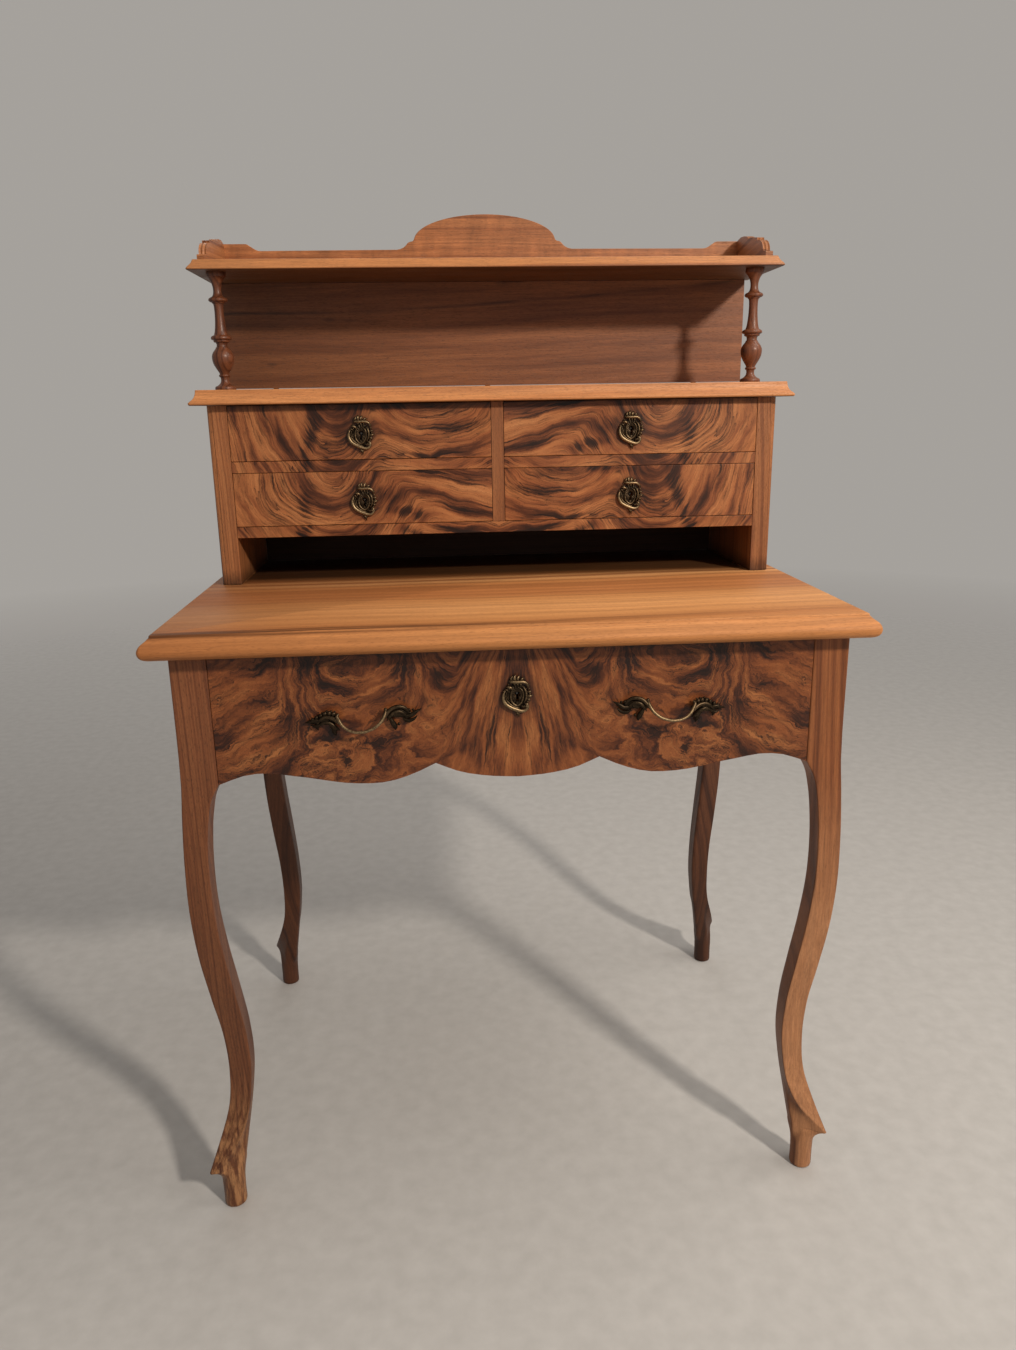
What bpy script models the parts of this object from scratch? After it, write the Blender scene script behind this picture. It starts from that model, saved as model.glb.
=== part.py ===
"""Secretary desk: a writing table on cabriole legs, a four-drawer cabinet on it and a display shelf above.

Units are metres. +Z is up, the front faces -Y and +X is the sitter's right. The origin is on the floor
in the middle of the desk's plan.
"""

import math

import bmesh
import bpy
import numpy as np
from mathutils import Vector

# Clearances
GAP = 0.0003            # between two pieces that touch
PLAY = 0.0006           # around a drawer front in its opening

# Table top
TABLE_HEIGHT = 0.760
TABLE_THICKNESS = 0.027
TABLE_HALF_WIDTH = 0.4062
TABLE_FRONT = -0.2838
TABLE_BACK = 0.2738
TABLE_UNDERSIDE = TABLE_HEIGHT - TABLE_THICKNESS

# Legs: both faces follow one pattern, so a leg is symmetrical about its own diagonal
POST_OUTER = 0.383      # outer face of the square posts, from the centre plane
POST_WIDTH = 0.041
POST_INNER = POST_OUTER - POST_WIDTH
POST_BOTTOM = 0.5786    # where the post turns into the curved leg
FRONT_LEG_OFFSET = 0.1338   # a front leg's depth is this value minus its distance from the centre plane
REAR_LEG_OFFSET = 0.1114    # a rear leg's depth is its distance from the centre plane minus this value
LEG_FRONT = FRONT_LEG_OFFSET - POST_OUTER
LEG_REAR = POST_OUTER - REAR_LEG_OFFSET
FOOT_CENTRE = 0.3745
FOOT_RADIUS = 0.0140
TOE_HEIGHT = 0.063

# Base frame
APRON_THICKNESS = 0.018
APRON_INSET = 0.003
APRON_LOW_EDGE = 0.5915
TOP_RAIL_BOTTOM = 0.712
TOP_RAIL_DEPTH = 0.036
RUNNER_TOP = 0.606
RUNNER_THICKNESS = 0.012
RUNNER_TIP = 0.322
KICKER_UNDERSIDE = 0.7025

# Main drawer
MAIN_FRONT_THICKNESS = 0.022
CUSP = 0.0948           # from the middle to the points between the lobes of the front's lower edge
MAIN_BOX_BACK = 0.215
MAIN_BOX_BOARD = 0.010
MAIN_BOX_HALF = 0.3412
MAIN_BOX_TOP = 0.700
MAIN_BOTTOM_THICKNESS = 0.006
HANDLE_CENTRE = 0.176
HANDLE_HEIGHT = 0.655

# Cabinet
CABINET_HALF_WIDTH = 0.3778
CABINET_SIDE = 0.026
CABINET_FRONT = 0.0284
CABINET_REAR = 0.2584
CABINET_BACK_FACE = 0.2424
CABINET_BACK_THICKNESS = 0.008
CABINET_INNER = CABINET_HALF_WIDTH - CABINET_SIDE
FLOOR_BOARD = (0.8232, 0.8375)
MIDDLE_BOARD = (0.9086, 0.9229)
MAIN_SHELF = (0.9952, 1.0146)
MAIN_SHELF_HALF = 0.3968
MAIN_SHELF_FRONT = 0.0110
DIVIDER_HALF = 0.008

# Small drawers
SMALL_FRONT_THICKNESS = 0.016
SMALL_BOX_BOARD = 0.008
SMALL_BOX_BACK = 0.232
SMALL_BOTTOM_THICKNESS = 0.004

# Display shelf
BACK_BOARD = (0.2484, 0.2584)
BACK_BOARD_HALF = 0.393
BACK_BOARD_LIFT = 0.005
TOP_SHELF = (1.1676, 1.1812)
TOP_SHELF_HALF = 0.4020
TOP_SHELF_FRONT = 0.0939
SHELF_REAR = 0.2604
SPINDLE_X = 0.3687
SPINDLE_Y = 0.1228
GALLERY_HALF = 0.389
GALLERY_SIDE_THICKNESS = 0.010
GALLERY_FRONT = 0.111
GALLERY_END_HEIGHT = 1.221

# Locks
KEYHOLE_DROP = 0.037    # keyhole centre below the lock case's top
LOCK_WIDTH = 0.040
LOCK_HEIGHT = 0.050
LOCK_DEPTH = 0.011
BOLT_WIDTH = 0.018
BOLT_THICKNESS = 0.004
BOLT_LENGTH = 0.024
BOLT_SET_BACK = 0.0065  # bolt's middle behind the lock's front face
MORTISE_DEPTH = 0.010
KEYHOLE_RADIUS = 0.0032
KEY_PIN_RADIUS = 0.0013
ESCUTCHEON_DROP = 0.0025    # plate's middle below the keyhole

# Colours
WALNUT = (0.36, 0.17, 0.07)
PALE_WALNUT = (0.50, 0.27, 0.12)
BURR_WALNUT = (0.40, 0.19, 0.07)
DARK_WALNUT = (0.20, 0.09, 0.045)
DRAWER_PINE = (0.60, 0.42, 0.24)
BRASS = (0.34, 0.25, 0.12)
IRON = (0.20, 0.19, 0.18)


# ---------------------------------------------------------------- meshes in desk coordinates

def loft(rings):
    """A closed solid through rings of equally many points, with flat ends."""
    bm = bmesh.new()
    loops = [[bm.verts.new(point) for point in ring] for ring in rings]
    count = len(loops[0])
    for lower, upper in zip(loops, loops[1:]):
        for i in range(count):
            j = (i + 1) % count
            bm.faces.new((lower[i], lower[j], upper[j], upper[i]))
    bm.faces.new(loops[0][::-1])
    bm.faces.new(loops[-1])
    bmesh.ops.recalc_face_normals(bm, faces=bm.faces)
    return bm


def prism(outline, axis, low, high):
    """An outline extruded along x, y or z; its points give the other two coordinates in x, y, z order."""
    index = "xyz".index(axis)

    def at(level):
        return [point[:index] + (level,) + point[index:] for point in outline]

    return loft([at(low), at(high)])


def board(x_range, y_range, z_range):
    """A rectangular board between three pairs of limits."""
    (x0, x1), (y0, y1) = sorted(x_range), sorted(y_range)
    return prism([(x0, y0), (x1, y0), (x1, y1), (x0, y1)], "z", *z_range)


def turned(profile, x, y, sides=16):
    """A turned piece from (radius, height) pairs."""
    angles = [2 * math.pi * i / sides for i in range(sides)]
    return loft([[(x + r * math.cos(a), y + r * math.sin(a), z) for a in angles] for r, z in profile])


def rod(start, end, radius, sides=12):
    """A round rod between two points."""
    start, end = Vector(start), Vector(end)
    direction = (end - start).normalized()
    side = direction.orthogonal().normalized()
    up = direction.cross(side)
    spokes = [side * math.cos(2 * math.pi * i / sides) + up * math.sin(2 * math.pi * i / sides)
              for i in range(sides)]
    return loft([[tuple(middle + spoke * radius) for spoke in spokes] for middle in (start, end)])


def boolean(body, tool, operation):
    """The body cut by the tool, or joined with it; both meshes are used up."""
    pair = []
    for bm in (body, tool):
        mesh = bpy.data.meshes.new("workpiece")
        bm.to_mesh(mesh)
        bm.free()
        workpiece = bpy.data.objects.new("workpiece", mesh)
        bpy.context.collection.objects.link(workpiece)
        pair.append(workpiece)
    modifier = pair[0].modifiers.new("boolean", "BOOLEAN")
    modifier.solver = "EXACT"
    modifier.operation = operation
    modifier.object = pair[1]
    result = bmesh.new()
    result.from_object(pair[0], bpy.context.evaluated_depsgraph_get())
    for workpiece in pair:
        mesh = workpiece.data
        bpy.data.objects.remove(workpiece)
        bpy.data.meshes.remove(mesh)
    return result


def cut(body, tool):
    return boolean(body, tool, "DIFFERENCE")


def join(body, tool):
    return boolean(body, tool, "UNION")


def smooth_curve(points, at):
    """The height of a smooth curve through (position, value) points at a position."""
    xs, ys = (np.array(values, dtype=float) for values in zip(*sorted(points)))
    slopes = np.gradient(ys, xs)
    i = int(np.clip(np.searchsorted(xs, at) - 1, 0, len(xs) - 2))
    span = xs[i + 1] - xs[i]
    t = (at - xs[i]) / span
    return float((1 + 2 * t) * (1 - t) ** 2 * ys[i] + t * (1 - t) ** 2 * span * slopes[i]
                 + t * t * (3 - 2 * t) * ys[i + 1] + t * t * (t - 1) * span * slopes[i + 1])


def moulded_slab(half_width, front, back, corner, profile):
    """A slab whose front and sides follow (inset, height) pairs; the back edge is square."""
    corner_steps = 4
    rings = []
    for inset, z in profile:
        half, nose, radius = half_width - inset, front + inset, max(corner - inset, 0.0005)
        ring = [(half, back, z)]
        for middle_x, first in ((half - radius, 0), (-half + radius, -90)):
            for step in range(corner_steps + 1):
                angle = math.radians(first - 90 * step / corner_steps)
                ring.append((middle_x + radius * math.cos(angle), nose + radius + radius * math.sin(angle), z))
        ring.append((-half, back, z))
        rings.append(ring)
    return loft(rings)


# ---------------------------------------------------------------- objects

def desk_point(obj):
    """An object's or empty's place in desk coordinates."""
    return obj.location + desk_point(obj.parent) if obj else Vector()


def add_slide(name, point, parent=None):
    """An empty on a sliding joint's axis, which carries the pieces that move with it."""
    empty = bpy.data.objects.new(name, None)
    empty.empty_display_size = 0.03
    bpy.context.collection.objects.link(empty)
    empty.location = Vector(point) - desk_point(parent)
    empty.parent = parent
    return empty


def add_part(name, bm, colour, parent=None, roughness=0.45, metallic=0.0, smooth=False):
    """Make a named object, in its own material, with its origin at the middle of its box."""
    low = Vector([min(v.co[i] for v in bm.verts) for i in range(3)])
    high = Vector([max(v.co[i] for v in bm.verts) for i in range(3)])
    origin = (low + high) / 2
    bmesh.ops.translate(bm, verts=bm.verts, vec=-origin)
    mesh = bpy.data.meshes.new(name)
    bm.to_mesh(mesh)
    bm.free()
    if smooth:
        mesh.shade_smooth()
        mesh.set_sharp_from_angle(angle=math.radians(35))
    part = bpy.data.objects.new(name, mesh)
    bpy.context.collection.objects.link(part)
    part.location = origin - desk_point(parent)
    part.parent = parent
    material = bpy.data.materials.new(name)
    material.use_nodes = True
    shader = material.node_tree.nodes["Principled BSDF"]
    shader.inputs["Base Color"].default_value = (*colour, 1.0)
    shader.inputs["Roughness"].default_value = roughness
    shader.inputs["Metallic"].default_value = metallic
    mesh.materials.append(material)
    return part


def add_brass(name, bm, parent):
    add_part(name, bm, BRASS, parent, roughness=0.4, metallic=0.9, smooth=True)


# ---------------------------------------------------------------- legs

# (height, distance from the centre plane) down the outer arris, and down the inner edge of the front face
LEG_OUTER_LINE = [(0.640, 0.3830), (0.580, 0.3838), (0.540, 0.3862), (0.480, 0.3887), (0.420, 0.3889),
                  (0.360, 0.3852), (0.300, 0.3779), (0.240, 0.3700), (0.190, 0.3680), (0.140, 0.3722),
                  (0.100, 0.3842), (TOE_HEIGHT, 0.3978)]
LEG_INNER_LINE = [(0.5786, 0.3420), (0.560, 0.3513), (0.536, 0.3565), (0.500, 0.3602), (0.465, 0.3614),
                  (0.420, 0.3605), (0.360, 0.3554), (0.300, 0.3482), (0.240, 0.3419), (0.190, 0.3407),
                  (0.150, 0.3445), (0.100, 0.3520), (TOE_HEIGHT, 0.3580)]
# A leg is deeper than it is wide: (height, extra depth on the side that faces the middle of the desk)
LEG_EXTRA_DEPTH = [(0.5786, 0.0), (0.560, 0.0035), (0.530, 0.0055), (0.420, 0.0040), (0.240, 0.0025),
                   (0.150, 0.0010), (TOE_HEIGHT, 0.0)]
# Below the ankle the front face narrows to the toe: (height, share of the face that is left)
TOE_TAPER = [(0.150, 1.0), (0.125, 0.93), (0.100, 0.72), (0.080, 0.38), (TOE_HEIGHT, 0.06)]
LEG_HEIGHTS = [0.5786, 0.571, 0.560, 0.548, 0.530, 0.505, 0.475, 0.445, 0.415, 0.385, 0.355, 0.325, 0.295,
               0.265, 0.235, 0.205, 0.180, 0.160, 0.145, 0.130, 0.115, 0.100, 0.088, 0.078, 0.070, TOE_HEIGHT]
# Under the toe the leg hollows into a round stub: (height, radius, distance of the centre)
STUB_RINGS = [(0.0560, 0.0190, 0.3752), (0.0480, 0.0160, 0.3748), (0.0300, 0.0143, FOOT_CENTRE),
              (0.0060, FOOT_RADIUS, FOOT_CENTRE), (0.0, FOOT_RADIUS - 0.002, FOOT_CENTRE)]


def leg_ring(outer, face_edge, inner, z, extra=0.0):
    """Eight points round a leg: outward arris, front face, its edge, inner side, inward corner and back."""
    middle = (outer + inner) / 2
    back = inner - extra
    return [(outer, outer, z), ((outer + face_edge) / 2, outer, z), (face_edge, outer, z),
            (inner, (outer + back) / 2, z), (inner, back, z), (middle, back, z),
            (outer, face_edge - extra, z), (outer, (outer + face_edge - extra) / 2, z)]


def leg_mesh(side, rear):
    """One leg; side is -1 for the left and 1 for the right."""
    rings = [leg_ring(POST_OUTER, POST_INNER, POST_INNER, TABLE_UNDERSIDE - GAP),
             leg_ring(POST_OUTER, POST_INNER, POST_INNER, 0.640)]
    for z in LEG_HEIGHTS:
        outer = smooth_curve(LEG_OUTER_LINE, z)
        inner = smooth_curve(LEG_INNER_LINE, z)
        share = smooth_curve(TOE_TAPER, z) if z < TOE_TAPER[0][0] else 1.0
        extra = smooth_curve(LEG_EXTRA_DEPTH, z)
        rings.append(leg_ring(outer, outer - share * (outer - inner), inner, z, extra))
    for z, radius, centre in STUB_RINGS:
        angles = [math.radians(45 + 45 * i) for i in range(8)]
        rings.append([(centre + radius * math.cos(a), centre + radius * math.sin(a), z) for a in angles])
    placed = []
    for ring in rings:
        depth = [(b - REAR_LEG_OFFSET) if rear else (FRONT_LEG_OFFSET - b) for _, b, _ in ring]
        placed.append([(side * a, y, z) for (a, _, z), y in zip(ring, depth)])
    return loft(placed)


# ---------------------------------------------------------------- writing table

def scalloped_edge(x):
    """Height of the main drawer front's lower edge at a distance from the middle."""
    centre_lobe = [(0.0, 0.5744), (0.034, 0.5768), (0.069, 0.5840), (CUSP, 0.5950)]
    outer_lobe = [(CUSP, 0.5950), (0.122, 0.5827), (0.151, 0.5745), (0.183, 0.5738), (0.252, 0.5852),
                  (0.292, 0.5907), (0.309, 0.5893), (POST_INNER, POST_BOTTOM)]
    return smooth_curve(centre_lobe if abs(x) < CUSP else outer_lobe, abs(x))


def build_base():
    for end, rear in (("front", False), ("rear", True)):
        for side_name, side in (("left", -1), ("right", 1)):
            add_part(f"leg_{end}_{side_name}", leg_mesh(side, rear), WALNUT, smooth=True)

    top = TABLE_UNDERSIDE - GAP
    post_back_of_front = LEG_FRONT + POST_WIDTH
    post_front_of_rear = LEG_REAR - POST_WIDTH
    depth_range = (post_back_of_front + GAP, post_front_of_rear - GAP)
    apron_outer = POST_OUTER - APRON_INSET
    apron_inner = apron_outer - APRON_THICKNESS

    # Side aprons: the lower edge rises from each post and dips a little at mid depth
    middle = sum(depth_range) / 2
    half = (depth_range[1] - depth_range[0]) / 2
    edge = []
    for step in range(25):
        t = -1 + step / 12
        lift = (1 - t ** 6) * (APRON_LOW_EDGE - POST_BOTTOM) - 0.006 * math.cos(math.pi * t / 2) ** 2
        edge.append((middle + t * half, POST_BOTTOM + lift))
    apron_outline = [(depth_range[0], top)] + edge + [(depth_range[1], top)]
    for side_name, side in (("left", -1), ("right", 1)):
        faces = sorted((side * apron_inner, side * apron_outer))
        add_part(f"apron_{side_name}", prism(apron_outline, "x", *faces), WALNUT)

    across = (-POST_INNER + GAP, POST_INNER - GAP)
    rear_face = LEG_REAR - APRON_INSET
    add_part("apron_back", board(across, (rear_face - APRON_THICKNESS, rear_face), (APRON_LOW_EDGE, top)),
             WALNUT)

    rail_front = LEG_FRONT + GAP + MAIN_FRONT_THICKNESS + GAP
    rail = board(across, (rail_front, rail_front + TOP_RAIL_DEPTH), (TOP_RAIL_BOTTOM, top))
    add_part("top_front_rail", cut(rail, mortise(0.0, rail_front, TOP_RAIL_BOTTOM)), DRAWER_PINE)

    # Runners: a channel with a ledge under the drawer's side and a kicker over it
    web_outer = apron_inner - GAP
    web_inner = POST_INNER + 0.0005
    channel = [(web_outer, RUNNER_TOP - RUNNER_THICKNESS), (RUNNER_TIP, RUNNER_TOP - RUNNER_THICKNESS),
               (RUNNER_TIP, RUNNER_TOP), (web_inner, RUNNER_TOP), (web_inner, KICKER_UNDERSIDE),
               (RUNNER_TIP, KICKER_UNDERSIDE), (RUNNER_TIP, KICKER_UNDERSIDE + 0.009),
               (web_outer, KICKER_UNDERSIDE + 0.009)]
    for side_name, side in (("left", -1), ("right", 1)):
        outline = [(side * x, z) for x, z in channel]
        add_part(f"drawer_runner_{side_name}", prism(outline, "y", *depth_range), DRAWER_PINE, roughness=0.6)

    # Table top: flat field, small step, ogee and a round nose low on the edge
    profile = [(0.0125, TABLE_HEIGHT), (0.0112, 0.7577), (0.0110, 0.7567), (0.0082, 0.7537), (0.0044, 0.7507),
               (0.0012, 0.7470), (0.0, 0.7430), (0.0010, 0.7385), (0.0045, 0.7350), (0.0085, TABLE_UNDERSIDE)]
    add_part("table_top", moulded_slab(TABLE_HALF_WIDTH, TABLE_FRONT, TABLE_BACK, 0.005, profile),
             PALE_WALNUT, roughness=0.35)


# ---------------------------------------------------------------- cabinet

def build_cabinet():
    top = MAIN_SHELF[0] - GAP
    base = TABLE_HEIGHT + GAP
    chamfer = 0.005
    depth = (CABINET_FRONT, CABINET_BACK_FACE - GAP)
    inner = CABINET_INNER - GAP

    for side_name, side in (("left", -1), ("right", 1)):
        outline = [(side * CABINET_INNER, CABINET_FRONT), (side * (CABINET_HALF_WIDTH - chamfer), CABINET_FRONT),
                   (side * CABINET_HALF_WIDTH, CABINET_FRONT + chamfer), (side * CABINET_HALF_WIDTH, CABINET_REAR),
                   (side * CABINET_INNER, CABINET_REAR)]
        add_part(f"cabinet_side_{side_name}", prism(outline, "z", base, top), WALNUT)

    back = (CABINET_BACK_FACE, CABINET_BACK_FACE + CABINET_BACK_THICKNESS)
    add_part("cabinet_back", board((-inner, inner), back, (base, top)), DARK_WALNUT, roughness=0.6)
    add_part("cabinet_floor_board", board((-inner, inner), depth, FLOOR_BOARD), BURR_WALNUT, roughness=0.35)
    add_part("centre_divider", board((-DIVIDER_HALF, DIVIDER_HALF), depth, (FLOOR_BOARD[1] + GAP, top)), WALNUT)

    lock_front = CABINET_FRONT + GAP + SMALL_FRONT_THICKNESS + GAP
    keyhole_x = (DIVIDER_HALF + CABINET_INNER) / 2
    for side_name, side in (("left", -1), ("right", 1)):
        middle_board = board((side * (DIVIDER_HALF + GAP), side * inner), depth, MIDDLE_BOARD)
        middle_board = cut(middle_board, mortise(side * keyhole_x, lock_front, MIDDLE_BOARD[0]))
        add_part(f"middle_board_{side_name}", middle_board, BURR_WALNUT, roughness=0.35)

    # Main shelf: hollow moulding that flares out to a thin lower lip
    low, high = MAIN_SHELF
    profile = [(0.0090, high), (0.0089, high - 0.002), (0.0082, high - 0.0065), (0.0060, high - 0.0110),
               (0.0025, high - 0.0140), (0.0, high - 0.0160), (0.0, low + 0.0013), (0.0015, low)]
    shelf = moulded_slab(MAIN_SHELF_HALF, MAIN_SHELF_FRONT, SHELF_REAR, 0.004, profile)
    for side in (-1, 1):
        shelf = cut(shelf, mortise(side * keyhole_x, lock_front, low))
    add_part("cabinet_top", shelf, PALE_WALNUT, roughness=0.35)


# ---------------------------------------------------------------- display shelf

# Turned column: (share of the length from the top, radius)
SPINDLE_PROFILE = [(0.0, 0.0132), (0.020, 0.0132), (0.050, 0.0105), (0.085, 0.0070), (0.120, 0.0053),
                   (0.165, 0.0053), (0.195, 0.0078), (0.228, 0.0124), (0.245, 0.0100), (0.270, 0.0068),
                   (0.300, 0.0062), (0.465, 0.0071), (0.510, 0.0085), (0.555, 0.0138), (0.567, 0.0105),
                   (0.585, 0.0105), (0.610, 0.0071), (0.640, 0.0090), (0.675, 0.0133), (0.720, 0.0147),
                   (0.770, 0.0132), (0.820, 0.0090), (0.858, 0.0056), (0.875, 0.0073), (0.900, 0.0054),
                   (0.930, 0.0075), (0.960, 0.0120), (0.980, 0.0141), (1.0, 0.0128)]


def gallery_back_outline():
    """Right half of the low back's upper edge from the middle outwards, mirrored to both sides."""
    arch_half, arch_rise, arch_foot = 0.104, 0.0355, 1.2240
    half = []
    for step in range(11):
        angle = math.radians(90 - 82 * step / 10)
        half.append((arch_half * math.cos(angle), arch_foot + arch_rise * math.sin(angle)))
    half += [(0.1045, 1.2232), (0.1110, 1.2226), (0.1155, 1.2180), (0.1210, 1.2142), (0.1290, 1.2122),
             (0.3270, 1.2115), (0.3340, 1.2132), (0.3400, 1.2168), (0.3445, 1.2198), (0.3500, GALLERY_END_HEIGHT),
             (GALLERY_HALF, GALLERY_END_HEIGHT)]
    foot = TOP_SHELF[1] + GAP
    left = [(-x, z) for x, z in half[1:]]
    return [(GALLERY_HALF, foot)] + half[::-1] + left + [(-GALLERY_HALF, foot)]


def gallery_side_outline():
    """Side board seen from the side: foot, quarter round, nib, long slow rise and a drop to the back."""
    foot = TOP_SHELF[1] + GAP
    rear = BACK_BOARD[0] - GAP
    outline = [(GALLERY_FRONT, foot), (GALLERY_FRONT, foot + 0.0065), (0.1235, foot + 0.0085)]
    for step in range(1, 6):
        angle = math.radians(90 * step / 5)
        outline.append((0.1520 - 0.0275 * math.cos(angle), 1.1900 + 0.0175 * math.sin(angle)))
    outline += [(0.1520, 1.2115), (0.1850, 1.2165), (0.1945, 1.2160), (0.2000, 1.2200), (0.2320, 1.2240),
                (rear, GALLERY_END_HEIGHT), (rear, foot)]
    return outline


def build_display_shelf():
    column_foot = MAIN_SHELF[1] + GAP
    column_top = TOP_SHELF[0] - GAP

    dowel_radius = 0.004
    lifted = (MAIN_SHELF[1] + BACK_BOARD_LIFT, column_top)
    back_board = board((-BACK_BOARD_HALF, BACK_BOARD_HALF), BACK_BOARD, lifted)
    for x in (-0.320, 0.0, 0.320):
        dowel = turned([(dowel_radius, column_foot), (dowel_radius, column_foot + 0.012)], x,
                       sum(BACK_BOARD) / 2, sides=12)
        back_board = join(back_board, dowel)
    add_part("etagere_back_board", back_board, WALNUT)

    tenon_radius, tenon_length = 0.0056, 0.005
    foot = column_foot + tenon_length
    profile = [(radius, column_top + share * (foot - column_top)) for share, radius in SPINDLE_PROFILE]
    profile += [(tenon_radius, foot), (tenon_radius, column_foot)]
    for side_name, side in (("left", -1), ("right", 1)):
        add_part(f"spindle_{side_name}", turned(profile, side * SPINDLE_X, SPINDLE_Y), DARK_WALNUT, smooth=True)

    low, high = TOP_SHELF
    profile = [(0.0080, high), (0.0076, high - 0.0014), (0.0062, high - 0.0047), (0.0030, high - 0.0082),
               (0.0005, high - 0.0107), (0.0, high - 0.0122), (0.0010, low)]
    add_part("top_shelf", moulded_slab(TOP_SHELF_HALF, TOP_SHELF_FRONT, SHELF_REAR, 0.004, profile),
             PALE_WALNUT, roughness=0.35)

    add_part("gallery_back", prism(gallery_back_outline(), "y", *BACK_BOARD), WALNUT)
    for side_name, side in (("left", -1), ("right", 1)):
        faces = sorted((side * (GALLERY_HALF - GALLERY_SIDE_THICKNESS), side * GALLERY_HALF))
        add_part(f"gallery_side_{side_name}", prism(gallery_side_outline(), "x", *faces), WALNUT)


# ---------------------------------------------------------------- locks and fittings

def mortise(x, lock_front, underside):
    """The pocket that a lock's bolt shoots up into."""
    y = lock_front + BOLT_SET_BACK
    half_width, half_depth = BOLT_WIDTH / 2 + 0.0015, BOLT_THICKNESS / 2 + 0.001
    return board((x - half_width, x + half_width), (y - half_depth, y + half_depth),
                 (underside - 0.004, underside + MORTISE_DEPTH))


def keyhole_cutter(x, z, y_range):
    """Round hole with a slot below it, as one prism."""
    slot_half, slot_length = 0.0013, 0.0085
    outline = [(x + slot_half, z - slot_length), (x - slot_half, z - slot_length)]
    start = math.degrees(math.asin(slot_half / KEYHOLE_RADIUS))
    for step in range(13):
        angle = math.radians(-90 - start - (360 - 2 * start) * step / 12)
        outline.append((x + KEYHOLE_RADIUS * math.cos(angle), z + KEYHOLE_RADIUS * math.sin(angle)))
    return prism(outline, "y", *y_range)


def escutcheon_outline(x, z):
    """Lobed shield round a keyhole: a crown above, a drop below and scrolls at the sides."""
    half_width, half_height = 0.0166, 0.0235
    middle_z = z - ESCUTCHEON_DROP
    points = []
    for step in range(36):
        angle = 2 * math.pi * step / 36
        lobes = 1 + 0.07 * math.cos(4 * angle) + 0.045 * math.cos(8 * angle)
        points.append((x + half_width * lobes * math.cos(angle), middle_z + half_height * lobes * math.sin(angle)))
    return points


def add_lock_set(prefix, slide, x, face_y, front_thickness, case_top):
    """Escutcheon, lock case with its key pin, and the bolt on its own slide."""
    key_z = case_top - KEYHOLE_DROP
    plate = prism(escutcheon_outline(x, key_z), "y", face_y - GAP - 0.0022, face_y - GAP)
    plate = cut(plate, keyhole_cutter(x, key_z, (face_y - 0.01, face_y + 0.01)))
    add_brass(f"{prefix}_escutcheon", plate, slide)

    front = face_y + front_thickness + GAP
    case = board((x - LOCK_WIDTH / 2, x + LOCK_WIDTH / 2), (front, front + LOCK_DEPTH),
                 (case_top - LOCK_HEIGHT, case_top))
    bolt_y = front + BOLT_SET_BACK
    bolt_bottom = case_top - GAP - BOLT_LENGTH
    half_width, half_thickness = BOLT_WIDTH / 2, BOLT_THICKNESS / 2
    pocket = board((x - half_width - GAP, x + half_width + GAP),
                   (bolt_y - half_thickness - GAP, bolt_y + half_thickness + GAP),
                   (bolt_bottom - GAP, case_top + 0.01))
    pin = rod((x, face_y + 0.003, key_z), (x, front + 0.002, key_z), KEY_PIN_RADIUS)
    add_part(f"{prefix}_lock", join(cut(case, pocket), pin), IRON, slide, metallic=0.8)

    bolt_slide = add_slide(f"{prefix}_bolt_slide", (x, bolt_y, bolt_bottom), slide)
    bolt = board((x - half_width, x + half_width), (bolt_y - half_thickness, bolt_y + half_thickness),
                 (bolt_bottom, case_top - GAP))
    add_part(f"{prefix}_bolt", bolt, BRASS, bolt_slide, metallic=0.9)


def handle_mesh(side, face_y):
    """Bow pull: leaf-shaped ends on two posts and a thin sagging grip between them."""
    # (distance from the handle's middle, height, stand-off from the drawer, half height, half depth)
    stations = [(-0.0630, -0.0045, 0.0055, 0.0015, 0.0015), (-0.0570, -0.0045, 0.0065, 0.0050, 0.0028),
                (-0.0490, -0.0045, 0.0075, 0.0085, 0.0035), (-0.0400, -0.0030, 0.0085, 0.0095, 0.0035),
                (-0.0310, -0.0020, 0.0110, 0.0085, 0.0038), (-0.0245, -0.0030, 0.0145, 0.0045, 0.0033),
                (-0.0185, -0.0085, 0.0170, 0.0031, 0.0030), (-0.0100, -0.0125, 0.0185, 0.0029, 0.0029),
                (0.0010, -0.0130, 0.0190, 0.0029, 0.0029), (0.0125, -0.0098, 0.0178, 0.0030, 0.0030),
                (0.0215, -0.0040, 0.0150, 0.0036, 0.0032), (0.0290, 0.0015, 0.0110, 0.0080, 0.0035),
                (0.0380, 0.0035, 0.0085, 0.0090, 0.0035), (0.0480, 0.0030, 0.0075, 0.0075, 0.0033),
                (0.0570, 0.0030, 0.0065, 0.0050, 0.0028), (0.0670, 0.0055, 0.0055, 0.0015, 0.0015)]
    middle_x = side * HANDLE_CENTRE
    rings = []
    for along, up, out, half_height, half_depth in stations:
        # the outer end comes first in the list, so the hand's side of the desk mirrors it
        x, y, z = middle_x - side * along, face_y - out, HANDLE_HEIGHT + up
        rings.append([(x, y + half_depth * math.cos(a), z + half_height * math.sin(a))
                      for a in (math.radians(45 * i) for i in range(8))])
    handle = loft(rings)
    for along, up in ((-0.040, -0.003), (0.040, 0.003)):
        x, z = middle_x - side * along, HANDLE_HEIGHT + up
        handle = join(handle, rod((x, face_y - GAP, z), (x, face_y - 0.0085, z), 0.0042))
    return handle


# ---------------------------------------------------------------- drawers

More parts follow.
